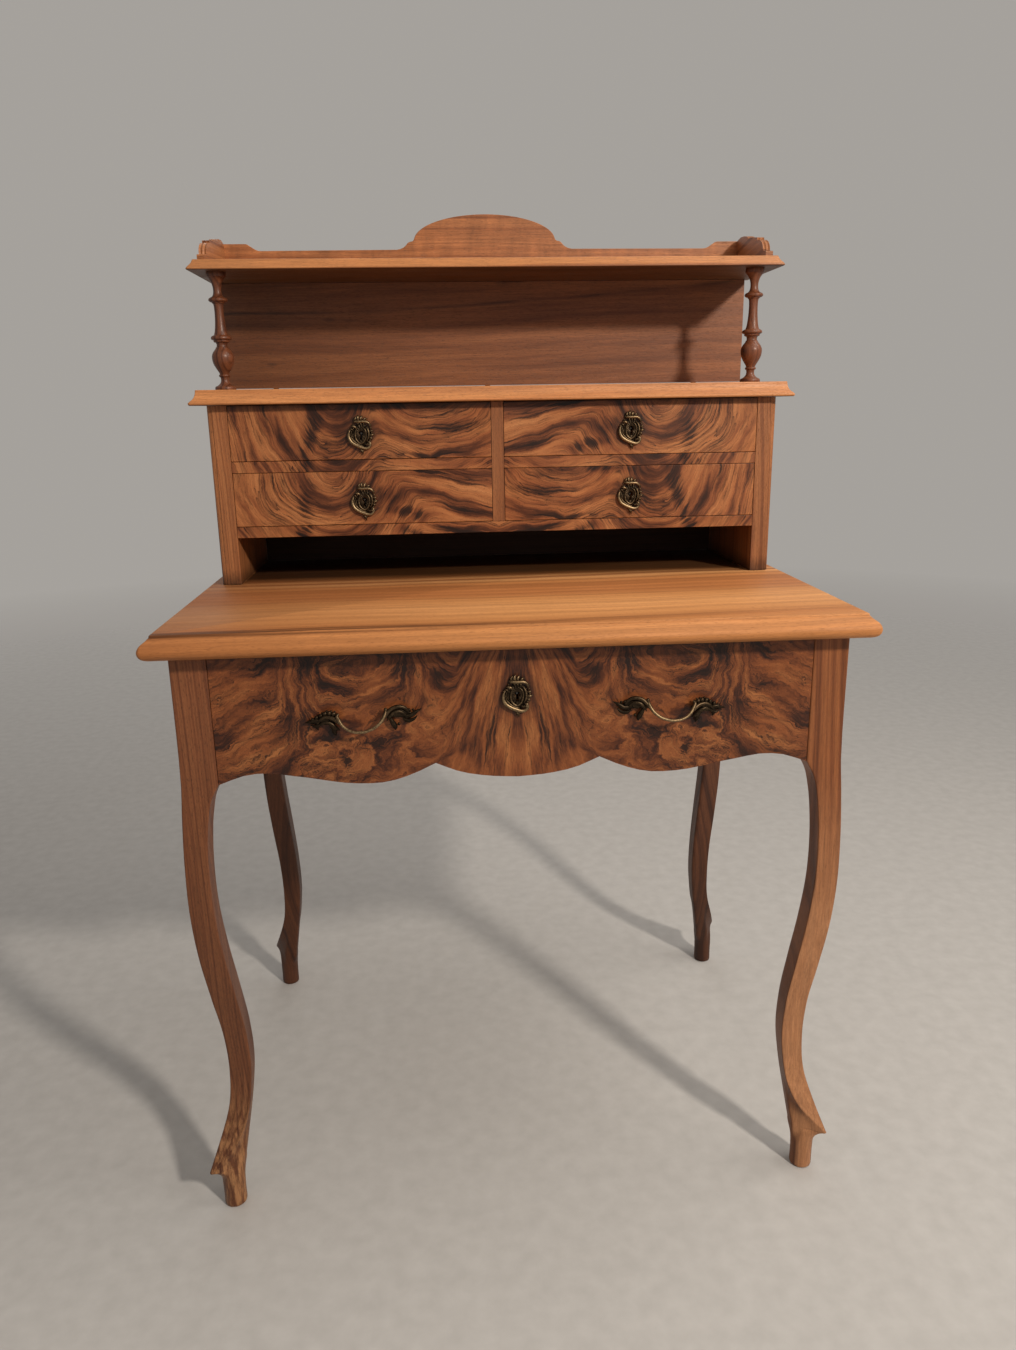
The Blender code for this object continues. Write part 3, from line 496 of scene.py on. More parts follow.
def skin(bm, rings, ring_shaped=False):
    """A closed solid through rings of equally many points, with flat ends or joined end to end."""
    loops = [[bm.verts.new(point) for point in ring] for ring in rings]
    count = len(loops[0])
    pairs = list(zip(loops, loops[1:]))
    if ring_shaped:
        pairs.append((loops[-1], loops[0]))
    for lower, upper in pairs:
        for i in range(count):
            j = (i + 1) % count
            bm.faces.new((lower[i], lower[j], upper[j], upper[i]))
    if not ring_shaped:
        bm.faces.new(loops[0][::-1])
        bm.faces.new(loops[-1])


def loft(rings, ring_shaped=False):
    bm = bmesh.new()
    skin(bm, rings, ring_shaped)
    bmesh.ops.recalc_face_normals(bm, faces=bm.faces)
    return bm


def prism(outline, axis, low, high):
    """An outline extruded along x, y or z; its points give the other two coordinates in x, y, z order."""
    index = "xyz".index(axis)
    return loft([[point[:index] + (level,) + point[index:] for point in outline] for level in (low, high)])


def board(low, high):
    outline = [(low[0], low[1]), (high[0], low[1]), (high[0], high[1]), (low[0], high[1])]
    return prism(outline, "z", low[2], high[2])


def cut_pocket(mesh, low, high):
    """The mesh with a box-shaped pocket cut out of it."""
    cutter_mesh = bpy.data.meshes.new("pocket")
    box = board(low, high)
    box.to_mesh(cutter_mesh)
    box.free()
    cutter = bpy.data.objects.new("pocket", cutter_mesh)
    block = bpy.data.objects.new("block", mesh)
    for obj in (cutter, block):
        bpy.context.scene.collection.objects.link(obj)
    cut = block.modifiers.new("pocket", "BOOLEAN")
    cut.operation, cut.solver, cut.object = "DIFFERENCE", "EXACT", cutter
    finished = bpy.data.meshes.new_from_object(block.evaluated_get(bpy.context.evaluated_depsgraph_get()))
    for obj in (cutter, block):
        bpy.data.objects.remove(obj)
    bpy.data.meshes.remove(cutter_mesh)
    bpy.data.meshes.remove(mesh)
    return finished


def piece(node, work, bm, material, body="desk", sharp=32.0, bevel=0.0, pockets=()):
    """A finer mesh in place of a CAD node, named after it and the work that it shows."""
    name = f"{node}_{work}"
    mesh = bpy.data.meshes.new(name)
    bm.to_mesh(mesh)
    bm.free()
    for low, high in pockets:
        mesh = cut_pocket(mesh, low, high)
    mesh.materials.append(material)
    mesh.shade_smooth()
    mesh.set_sharp_from_angle(angle=math.radians(sharp))
    made = bpy.data.objects.new(name, mesh)
    bpy.context.scene.collection.objects.link(made)
    if bevel:
        soften(made, bevel)
    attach(made, body)
    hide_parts(node)


def soften(obj, width):
    """Worn arrises: a small round bevel on every sharp edge."""
    weld = obj.modifiers.new("weld", "WELD")
    weld.merge_threshold = 0.00002
    bevel = obj.modifiers.new("arris", "BEVEL")
    bevel.width = width
    bevel.segments = 2
    bevel.limit_method = "ANGLE"
    bevel.angle_limit = math.radians(34)
    bevel.harden_normals = True


def dress(name, material, bevel=0.0006):
    """A CAD node that stays gets its material and worn arrises."""
    node = nodes[name]
    for place in node.material_slots:
        place.material = material
    if bevel:
        soften(node, bevel)


def curve_through(points, steps):
    """A smooth curve through rows of numbers, as many steps between each two rows."""
    rows = np.array(points, dtype=float)
    padded = np.vstack([2 * rows[0] - rows[1], rows, 2 * rows[-1] - rows[-2]])
    made = []
    for i in range(1, len(padded) - 2):
        before, start, end, after = padded[i - 1:i + 3]
        for step in range(steps):
            t = step / steps
            made.append(0.5 * (2 * start + (end - before) * t
                               + (2 * before - 5 * start + 4 * end - after) * t ** 2
                               + (3 * start - before - 3 * end + after) * t ** 3))
    made.append(rows[-1])
    return made


def smooth_curve(points, at):
    """The height of a smooth curve through (position, value) points at a position."""
    xs, ys = (np.array(values, dtype=float) for values in zip(*sorted(points)))
    slopes = np.gradient(ys, xs)
    i = int(np.clip(np.searchsorted(xs, at) - 1, 0, len(xs) - 2))
    span = xs[i + 1] - xs[i]
    t = min(max((at - xs[i]) / span, 0.0), 1.0)
    return float((1 + 2 * t) * (1 - t) ** 2 * ys[i] + t * (1 - t) ** 2 * span * slopes[i]
                 + t * t * (3 - 2 * t) * ys[i + 1] + t * t * (t - 1) * span * slopes[i + 1])


# -------- legs

POST_OUTER, POST_INNER, POST_BOTTOM, TOE_HEIGHT = 0.383, 0.342, 0.5786, 0.063
FRONT_LEG_OFFSET, REAR_LEG_OFFSET = 0.1338, 0.1114
FOOT_CENTRE, FOOT_RADIUS = 0.3745, 0.0140
# Each as (height, value), down from the post
LEG_OUTER_LINE = [(0.640, 0.3830), (0.580, 0.3838), (0.540, 0.3862), (0.480, 0.3887), (0.420, 0.3889),
                  (0.360, 0.3852), (0.300, 0.3779), (0.240, 0.3700), (0.190, 0.3680), (0.140, 0.3722),
                  (0.100, 0.3842), (TOE_HEIGHT, 0.3978)]
LEG_INNER_LINE = [(POST_BOTTOM, 0.3420), (0.560, 0.3513), (0.536, 0.3565), (0.500, 0.3602), (0.465, 0.3614),
                  (0.420, 0.3605), (0.360, 0.3554), (0.300, 0.3482), (0.240, 0.3419), (0.190, 0.3407),
                  (0.150, 0.3445), (0.100, 0.3520), (TOE_HEIGHT, 0.3580)]
LEG_EXTRA_DEPTH = [(POST_BOTTOM, 0.0), (0.560, 0.0035), (0.530, 0.0055), (0.420, 0.0040), (0.240, 0.0025),
                   (0.150, 0.0010), (TOE_HEIGHT, 0.0)]
TOE_TAPER = [(0.150, 1.0), (0.128, 0.96), (0.108, 0.80), (0.090, 0.53), (0.076, 0.24), (TOE_HEIGHT, 0.0)]
ARRIS_ROUNDING = (0.0016, 0.0018, 0.0030, 0.0050, 0.0030, 0.0018)
FACE_STEPS, SIDE_STEPS = 24, 7
LEG_TOP, SWELL_TOP = 0.7327, 0.640
FLUTE_TOP, FLUTE_FADE = 0.210, 0.08
# Depth of the flutes over the toe and how blunt its point is
TOE_CARVING = {"left": (0.0019, 0.24), "right": (0.0002, 0.05)}
# Under the toe's edge, as (drop, inset), and then down the round stub, as (height, radius)
TOE_ROUNDING = ((0.0006, 0.0001), (0.0014, 0.0005), (0.0021, 0.0012))
STUB = ((0.024, 0.0140), (0.015, 0.0139), (0.007, FOOT_RADIUS), (0.003, FOOT_RADIUS),
        (0.0010, FOOT_RADIUS - 0.0005), (0.0, FOOT_RADIUS - 0.0020))
UNDERCUT, STUB_SHOULDER = 0.0285, 0.0002


def rounded_corner(before, corner, after, radius):
    """Four points round a corner, on a curve that touches both of its edges."""
    first = before - corner
    second = after - corner
    reach_first = min(radius, 0.45 * first.length) / max(first.length, 1e-9)
    reach_second = min(radius, 0.45 * second.length) / max(second.length, 1e-9)
    start, end = corner + first * reach_first, corner + second * reach_second
    return [start * (1 - t) ** 2 + corner * 2 * t * (1 - t) + end * t ** 2 for t in (0.0, 0.33, 0.67, 1.0)]


def leg_section(outer, face_edge, inner, extra, flute):
    """A leg's section, from the outward arris round by the front, inner and back sides."""
    back = inner - extra
    corners = [Vector(p) for p in ((outer, outer), (face_edge, outer), (inner, (outer + back) / 2),
                                   (inner, back), ((outer + inner) / 2, back), (outer, face_edge - extra))]
    rounds = [rounded_corner(corners[i - 1], corners[i], corners[(i + 1) % 6], radius)
              for i, radius in enumerate(ARRIS_ROUNDING)]
    ring = []
    for side in range(6):
        ring += rounds[side]
        start, end = rounds[side][-1], rounds[(side + 1) % 6][0]
        steps = FACE_STEPS if side == 0 else SIDE_STEPS
        for step in range(1, steps):
            t = step / steps
            hollow = flute * abs(math.sin(3 * math.pi * t)) ** 0.8 if side == 0 else 0.0
            point = start.lerp(end, t)
            ring.append(Vector((point.x, point.y - hollow)))
    return ring


def shin_rings(flute_depth, blunt):
    """The leg from its top down to the toe."""
    heights = [LEG_TOP, 0.690, SWELL_TOP, 0.610] + [POST_BOTTOM - 0.004 * i for i in range(105)]
    heights += [0.156 - 0.003 * i for i in range(31)] + [TOE_HEIGHT]
    rings = []
    for z in heights:
        outer = smooth_curve(LEG_OUTER_LINE, z) if z < SWELL_TOP else POST_OUTER
        inner = smooth_curve(LEG_INNER_LINE, z) if z < POST_BOTTOM else POST_INNER
        share = smooth_curve(TOE_TAPER, z) if z < TOE_TAPER[0][0] else 1.0
        share = blunt + (1 - blunt) * share
        extra = smooth_curve(LEG_EXTRA_DEPTH, z) if z < POST_BOTTOM else 0.0
        fade = min(max((FLUTE_TOP - z) / FLUTE_FADE, 0.0), 1.0) * share
        section = leg_section(outer, outer - share * (outer - inner), inner, extra, flute_depth * fade)
        rings.append([(p.x, p.y, z) for p in section])
    return rings


def foot_rings(toe):
    """From the toe's outline round under its edge and down the stub to the floor."""
    lengths = np.linalg.norm(toe - np.roll(toe, 1, axis=0), axis=1)
    turns = math.radians(45) + 2 * math.pi * (np.cumsum(lengths) - lengths[0] - lengths[1]) / lengths.sum()
    round_foot = np.column_stack((np.cos(turns), np.sin(turns)))
    centre = np.array((FOOT_CENTRE, FOOT_CENTRE))
    overhang = np.clip((toe - centre).sum(axis=1) / 0.014, 0.0, 1.0)[:, None]
    tuck = toe.mean(axis=0) - toe
    tuck *= overhang / np.linalg.norm(tuck, axis=1)[:, None]
    levels = [(TOE_HEIGHT - drop, toe + inset * tuck) for drop, inset in TOE_ROUNDING]
    z_under, edge = levels[-1]
    shoulder = centre + round_foot * (FOOT_RADIUS + STUB_SHOULDER)
    for step in range(1, 17):
        t = step / 16
        sink = overhang * (1 - (1 - t) ** 2.7) + (1 - overhang) * t * t * (3 - 2 * t)
        levels.append((z_under - UNDERCUT * t ** 1.15, edge + (shoulder - edge) * sink))
    levels += [(z, centre + round_foot * radius) for z, radius in STUB]
    return [[(a, b, z) for a, b in level] for z, level in levels]


def leg_piece(end, side_name, side, material):
    rings = shin_rings(*TOE_CARVING[side_name])
    rings += foot_rings(np.array([point[:2] for point in rings[-1]]))
    if end == "rear":
        placed = [[(side * a, b - REAR_LEG_OFFSET, z) for a, b, z in ring] for ring in rings]
    else:
        placed = [[(side * a, FRONT_LEG_OFFSET - b, z) for a, b, z in ring] for ring in rings]
    piece(f"leg_{end}_{side_name}", "carved", loft(placed), material, sharp=40)


# -------- mouldings

def moulded_slab(half_width, front, back, corner, profile):
    """A slab whose front and sides follow (inset, height) pairs; the back edge is square."""
    corner_steps = 8
    rings = []
    for inset, z in profile:
        half, nose, radius = half_width - inset, front + inset, max(corner - inset, 0.0012)
        ring = [(half, back, z)]
        for middle_x, first in ((half - radius, 0), (-half + radius, -90)):
            for step in range(corner_steps + 1):
                angle = math.radians(first - 90 * step / corner_steps)
                ring.append((middle_x + radius * math.cos(angle), nose + radius + radius * math.sin(angle),
                             z))
        ring.append((-half, back, z))
        rings.append(ring)
    return loft(rings)


def moulding(points, steps=5):
    return [tuple(row) for row in curve_through(points, steps)]


def edge(top, rows):
    """Rows of (inset, depth below the top) in millimetres as (inset, height)."""
    return [(inset, top - depth) for inset, depth in mm(rows)]


# Room beside a bolt in its pocket, and how far the pocket goes past the bolt at rest
BOLT_ROOM, BOLT_REACH = 0.0008, 0.0078


def bolt_pockets(underside):
    """Where the upper drawers' bolts shoot up into the shelf."""
    room = Vector((BOLT_ROOM, BOLT_ROOM, 0.0))
    pockets = []
    for prefix in SMALL_DRAWERS[:2]:
        low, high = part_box(f"{prefix}_bolt")
        low, high = low - room, high + room
        pockets.append(((low.x, low.y, underside - 0.002), (high.x, high.y, high.z + BOLT_REACH)))
    return pockets


# Painted shade: the shelf darkens to three tenths at its underside, for the shade under it
def shelf_wood(name, seed, rings, slope, pith, underside):
    return wood(name, "x", seed, SHELF_TONES, rings=rings, slope=slope, pith=pith,
                shades=[("z", underside + 0.0017, underside + 0.0002, 0.30)])


def build_slabs():
    low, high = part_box("table_top")
    # top field, small step, hollow and round nose
    flat = edge(high.z, [(13.5, 0), (12.7, 0.3), (12.3, 1), (12.1, 2.8)])
    sweep = moulding([(0.0112, 0.7566), (0.0085, 0.7540), (0.0046, 0.7511), (0.0014, 0.7472), (0.0, 0.7430),
                      (0.0011, 0.7385), (0.0046, 0.7350), (0.0085, low.z)])
    piece("table_top", "moulded", moulded_slab(high.x, low.y, high.y, 0.005, flat + sweep), tabletop_wood(),
          sharp=28)

    low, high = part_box("cabinet_top")
    # arris, hollow that flares out, thin lip
    flat = edge(high.z, [(10, 0), (9.3, 0.3)])
    sweep = moulding(edge(high.z, [(9, 1.2), (8.8, 3.5), (8, 7), (6, 11), (2.8, 14), (0.6, 15.8), (0, 16.8)])
                     + [(0.0006, low.z + 0.0008), (0.0018, low.z)])
    piece("cabinet_top", "moulded", moulded_slab(high.x, low.y, high.y, 0.004, flat + sweep),
          shelf_wood("shelf walnut", 3.1, 42, 0.012, 0.25, low.z), sharp=28,
          pockets=bolt_pockets(low.z))

    low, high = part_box("top_shelf")
    flat = edge(high.z, [(8.8, 0), (8.2, 0.3)])
    sweep = moulding(edge(high.z, [(7.9, 0.8), (7.5, 2), (6, 5), (3, 8.5), (0.6, 10.8), (0, 12.2)])
                     + [(0.0004, low.z + 0.0006), (0.0014, low.z)])
    piece("top_shelf", "moulded", moulded_slab(high.x, low.y, high.y, 0.004, flat + sweep),
          shelf_wood("upper shelf walnut", 5.4, 38, 0.01, 0.3, low.z), sharp=28)


# -------- display shelf

# Thousandths of the height from the top down, and radii in millimetres; each row is one smooth run and a
# crisp edge divides it from the next
SPINDLE_RUNS = mm([
    [(0, 12.8), (20, 13.1), (38, 12.8)],
    [(43, 11.6), (62, 9.2), (85, 7.1), (120, 5.6), (150, 5.3), (178, 5.8), (196, 7.1), (206, 8.7)],
    [(208, 9.9), (214, 11.5), (223, 12.5), (231, 12.7), (239, 12), (246, 10.5)],
    [(248, 8.7), (257, 8)],
    [(260, 6.9), (280, 6.3), (320, 6), (380, 6.2), (440, 6.9), (490, 8), (522, 9.3)],
    [(525, 10.4), (533, 12.7), (544, 13.8), (555, 13.8), (563, 12.6)],
    [(566, 10.8), (578, 10.7), (584, 9.9)],
    [(587, 8), (603, 7.1), (622, 7.3)],
    [(625, 8.1), (642, 9.5), (668, 12.7), (697, 14.5), (725, 14.7), (762, 13.7), (802, 10.8), (838, 7.4),
     (856, 6.1)],
    [(860, 6.9), (870, 7.7), (880, 7)],
    [(884, 5.8), (905, 5.4), (925, 6), (944, 8.1), (958, 11.2)],
    [(961, 12.8), (972, 14), (988, 14.1), (1000, 13.4)]])


def build_spindles():
    turns = [math.radians(7.5 * i) for i in range(48)]
    for side_name, side in SIDES:
        low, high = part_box(f"spindle_{side_name}")
        middle = (low + high) / 2
        rings = []
        for run in SPINDLE_RUNS:
            for share, radius in curve_through(run, 3):
                z = high.z + share * (low.z - high.z)
                rings.append([(middle.x + radius * math.cos(a), middle.y + radius * math.sin(a), z)
                              for a in turns])
        material = wood(f"turned walnut {side_name}", "z", 7.3 + side, RED_TONES, rings=180, slope=0.05,
                        pith=0.01, gloss=0.40, coat=0.1)
        piece(f"spindle_{side_name}", "turned", loft(rings), material, sharp=38)


GALLERY_END = 1.221


def gallery_back_outline(foot, half_width):
    arch_half, arch_rise, arch_foot = 0.104, 0.0355, 1.2240
    half = []
    for step in range(31):
        angle = math.radians(90 - 84 * step / 30)
        half.append((arch_half * math.cos(angle), arch_foot + arch_rise * math.sin(angle)))
    half += [(0.1045, 1.2252), (0.1062, 1.2236), (0.1110, 1.2226), (0.1136, 1.2210), (0.1160, 1.2180),
             (0.1190, 1.2156), (0.1235, 1.2134), (0.1290, 1.2122), (0.3270, 1.2115), (0.3310, 1.2120),
             (0.3345, 1.2134), (0.3400, 1.2168), (0.3445, 1.2198), (0.3470, 1.2208), (0.3500, GALLERY_END),
             (half_width, GALLERY_END)]
    left = [(-x, z) for x, z in half[1:]]
    return [(half_width, foot)] + half[::-1] + left + [(-half_width, foot)]


def gallery_side_outline(front, foot, rear):
    """Side board seen from the side: foot, nib, quarter round, nib, long slow rise and a drop to the back."""
    outline = [(front, foot), (front, foot + 0.0055), (front + 0.0008, foot + 0.0068),
               (front + 0.0110, foot + 0.0085)]
    for step in range(13):
        angle = math.radians(90 * step / 12)
        outline.append((0.1520 - 0.0275 * math.cos(angle), 1.1905 + 0.0175 * math.sin(angle)))
    outline += [(0.1522, 1.2112), (0.1545, 1.2120), (0.1850, 1.2165), (0.1925, 1.2162), (0.1955, 1.2172),
                (0.2000, 1.2200), (0.2150, 1.2226), (0.2320, 1.2238), (rear, GALLERY_END), (rear, foot)]
    return outline


def build_gallery():
    low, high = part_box("gallery_back")
    outline = gallery_back_outline(low.z, high.x)
    back_wood = wood("gallery walnut", "x", 9.7, BODY_TONES, rings=60, slope=0.02, pith=0.2, mottled=True)
    piece("gallery_back", "shaped", prism(outline, "y", low.y, high.y), back_wood, bevel=0.0008)
    for side_name, side in SIDES:
        low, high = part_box(f"gallery_side_{side_name}")
        outline = gallery_side_outline(low.y, low.z, high.y)
        material = wood(f"gallery end walnut {side_name}", "y", 11.2 + side, BODY_TONES, rings=120, slope=0.4,
                        pith=0.05)
        # Two grooves run along the front end's quarter round
        layers = []
        for step in range(21):
            across = step / 20
            groove = 0.0012 * math.sin(2 * math.pi * across) ** 2
            cuts = [groove if 4 <= i <= 16 else 0.0 for i in range(len(outline))]
            layers.append([(low.x + (high.x - low.x) * across, y + cut, z - 0.5 * cut)
                           for (y, z), cut in zip(outline, cuts)])
        piece(f"gallery_side_{side_name}", "shaped", loft(layers), material, sharp=30)


# -------- cabinet and base

def stile_outline(side, half, front, rear, inner):
    """Cabinet side seen from above: a quirked ovolo on the outer front corner."""
    outline = [(side * inner, front), (side * (half - 0.0075), front),
               (side * (half - 0.0068), front + 0.0012), (side * (half - 0.0060), front + 0.0014)]
    for step in range(9):
        angle = math.radians(90 * step / 8)
        outline.append((side * (half - 0.0056 + 0.0056 * math.sin(angle)),
                        front + 0.0070 - 0.0056 * math.cos(angle)))
    outline += [(side * half, rear), (side * inner, rear)]
    return outline


def build_cabinet():
    for side_name, side in SIDES:
        low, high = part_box(f"cabinet_side_{side_name}")
        inner, half = sorted((abs(low.x), abs(high.x)))
        outline = stile_outline(side, half, low.y, high.y, inner)
        material = wood(f"stile walnut {side_name}", "z", 13.0 + side, BODY_TONES, rings=150, slope=0.02,
                        pith=0.2, grime_and_shade_at_foot=(0.7603, 0.022))
        piece(f"cabinet_side_{side_name}", "moulded", prism(outline, "z", low.z, high.z), material,
              bevel=0.0004)
    low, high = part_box("cabinet_back")
    # Painted shade: the back board darkens to a tenth at its inner face, for the deep shade inside the
    # compartment
    dress("cabinet_back", wood("backboard", "x", 15.2, BODY_TONES, rings=40, pith=0.3, gloss=0.6, coat=0.0,
                               shades=[("y", high.y - 0.001, low.y + 0.001, 0.10)]), 0)
    dress("centre_divider",
          wood("divider walnut", "z", 16.4, BODY_TONES, rings=120, slope=0.01, pith=0.2), 0.0004)
    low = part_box("cabinet_floor_board")[0]
    dress("cabinet_floor_board",
          veneer("rail veneer", leaf_figure, low.z - 0.010, 1.3, FIGURE_TONES, low.y), 0.0004)
    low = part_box("middle_board_left")[0]
    rail = veneer("middle rail veneer", hook_figure, low.z - 0.014, 2.1, FIGURE_TONES, low.y)
    for side_name, _ in SIDES:
        dress(f"middle_board_{side_name}", rail, 0.0004)
    dress("etagere_back_board", back_board_wood(), 0.0005)


# Each leg's tones, how open its pores are and where its finish is bleached or worn through; the right front
# leg's pale front face is fading together with painted light, and the rear legs take darker tones that are
# painted shade
WORN_TOE = ((0.400, 0.195, 0.082), 0.185, 0.12, -0.2, 1.0)
FADED_AND_LIT_FACE = ((0.470, 0.220, 0.100), 0.56, 0.2, 0.55, 0.25)
LEGS = (("front", "left", DARK_LEG_TONES, 0.6, WORN_TOE), ("front", "right", LEG_TONES, 0.3, FADED_AND_LIT_FACE),
        ("rear", "left", SHADED_REAR_LEG_TONES, 0.6, None), ("rear", "right", SHADED_REAR_LEG_TONES, 0.6, None))


def build_base():
    for index, (end, side_name, tones, pore, bleached) in enumerate(LEGS):
        # Painted shade: each leg darkens towards the floor, to two thirds at 0.12 m, for light that falls off
        # downwards
        material = wood(f"leg walnut {end} {side_name}", "z", 20.0 + 2.3 * index, tones, rings=110,
                        slope=0.03, pith=0.16, pore=pore, coat=0.0, bleached=bleached,
                        shades=[("z", 0.60, 0.12, 0.66)])
        leg_piece(end, side_name, dict(SIDES)[side_name], material)
    for index, (side_name, _) in enumerate(SIDES):
        dress(f"apron_{side_name}", wood(f"apron walnut {side_name}", "y", 31.0 + index, BODY_TONES), 0.0007)
        dress(f"drawer_runner_{side_name}", pine(f"runner {side_name}", "y", 33.0 + index), 0)
    dress("apron_back", wood("rear apron walnut", "x", 36.0, BODY_TONES), 0.0007)
    dress("top_front_rail", pine("rail pine", "x", 37.0), 0)


# -------- drawers

# Distance of the keyholes from the centre plane, and their heights
MAIN_KEYHOLE = (0.0, 0.6745)
UPPER_KEYHOLE, LOWER_KEYHOLE = (0.1799, 0.9571), (0.1799, 0.8705)


def build_drawers():
    low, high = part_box("main_drawer_front")
    front = veneer("crotch veneer", crotch_figure, POST_BOTTOM, 0.9, CROTCH_TONES, low.y, (0.034, 0.020),
                   13.0, calm_middle=0.30, keyhole=MAIN_KEYHOLE, shadowed_top=high.z)
    dress("main_drawer_front", front, 0.0008)
    for index, (part, grain, arris) in enumerate((("side_left", "y", 0.0006), ("side_right", "y", 0.0006),
                                                  ("back", "x", 0.0006), ("bottom", "x", 0))):
        dress(f"main_drawer_{part}", pine(f"drawer pine {part}", grain, 40.0 + 1.7 * index), arris)
    for index, prefix in enumerate(SMALL_DRAWERS):
        low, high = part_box(f"{prefix}_drawer_front")
        upper = prefix.startswith("upper")
        figure, seed = (hook_figure, 3.3) if prefix in ("upper_left", "lower_right") else (leaf_figure, 5.1)
        front = veneer(f"{prefix} veneer", figure, low.z, seed, FIGURE_TONES, low.y,
                       keyhole=UPPER_KEYHOLE if upper else LOWER_KEYHOLE,
                       shadowed_top=high.z if upper else None)
        dress(f"{prefix}_drawer_front", front, 0.0008)
        dress(f"{prefix}_drawer_box", pine(f"{prefix} drawer pine", "y", 50.0 + 2.9 * index), 0.0005)
        dress(f"{prefix}_drawer_bottom", pine(f"{prefix} bottom pine", "x", 61.0 + 1.9 * index), 0)


# -------- fittings

def tube(bm, stations, place, steps=5, sides=10):
    """A tapering cast stem; stations are (along, up, out, half width, half depth) on the fitting's plane."""
    rows = curve_through(stations, steps)
    turns = [2 * math.pi * k / sides for k in range(sides)]
    rings = []
    for i, row in enumerate(rows):
        ahead = rows[min(i + 1, len(rows) - 1)][:3] - rows[max(i - 1, 0)][:3]
        forward = Vector(ahead).normalized()
        side = Vector((-forward.y, forward.x, 0.0)).normalized()
        out = forward.cross(side).normalized()
        middle = Vector(row[:3])
        width, depth = max(row[3], 0.0002), max(row[4], 0.0002)
        rings.append([place(middle + side * width * math.cos(a) + out * depth * math.sin(a)) for a in turns])
    skin(bm, rings)


def bead(bm, middle, radius, place, flat=0.8):
    made = bmesh.ops.create_icosphere(bm, subdivisions=2, radius=radius)
    for vert in made["verts"]:
        local = Vector((vert.co.x, vert.co.y, vert.co.z * flat)) + Vector(middle)
        vert.co = place(local)


BOW = mm([(-24.5, 6.5, 10, 1.2, 1.2), (-26.5, 4, 11, 1.9, 1.8), (-25, 0.5, 12.5, 2.2, 1.9),
          (-21.5, -5, 15, 1.9, 1.9), (-16, -9.8, 17, 1.7, 1.8), (-8, -12.8, 18.5, 1.7, 1.8),
          (1, -13.2, 19, 1.8, 1.8), (10, -11.2, 18.3, 1.8, 1.8), (17.5, -7.2, 17, 1.8, 1.8),
          (23, -2, 14.5, 2, 1.9), (26.5, 4, 11.5, 2.2, 2), (27.5, 8.5, 9, 1.6, 1.6), (27, 10, 8, 0.6, 0.6)])
OUTER_BANDS = mm([
    [(-22, -6, 13, 0.8, 1), (-26, -2.5, 11.5, 2.2, 2), (-31, 1, 9.5, 2.6, 2.3),
     (-38, 2.5, 8, 2.4, 2.2), (-44, 0.5, 7, 2.2, 2.2), (-48, -3.5, 6, 1.8, 2), (-50.5, -8, 5, 1, 1.2)],
    [(-24.5, -14, 5.5, 0.5, 1), (-29, -11, 6.5, 2.8, 2.2), (-33.5, -6.5, 7, 2.8, 2.4),
     (-39.5, -3.8, 6.6, 2.4, 2.2), (-46, -6.5, 5.6, 2, 1.8), (-52, -9, 5, 1.6, 1.5),
     (-57, -7, 4.6, 0.6, 0.8)],
    [(-29.5, -21, 3, 0.5, 0.8), (-31, -17, 4, 2.6, 1.8), (-31.5, -12, 5.2, 3, 2.2),
     (-35, -8, 5.6, 1.6, 1.6)],
    [(-44, -3, 5.5, 1.4, 1.6), (-51, -2, 5.6, 2.6, 2), (-57, -3.2, 5.2, 2, 1.6),
     (-63.5, -4.6, 4.2, 0.4, 0.6)],
    [(-47, -6.5, 4.4, 1, 1.2), (-50, -10, 4.2, 2.4, 1.6), (-49, -14, 3.4, 0.5, 0.6)]])
OUTER_BEADS = mm([(-26.5, 5, 9, 2.3), (-30.5, 6, 8.4, 2.7), (-35.2, 6.8, 7.6, 2.8), (-40.2, 6.2, 7, 2.8),
                  (-45, 4, 6.4, 2.6), (-49.8, 1.6, 5.8, 2.4), (-54.4, -0.6, 5.4, 2), (-33, 8.6, 7, 1.5),
                  (-38, 8.8, 6.4, 1.5), (-43, 7, 6, 1.4), (-29, 8.2, 7.8, 1.3)])
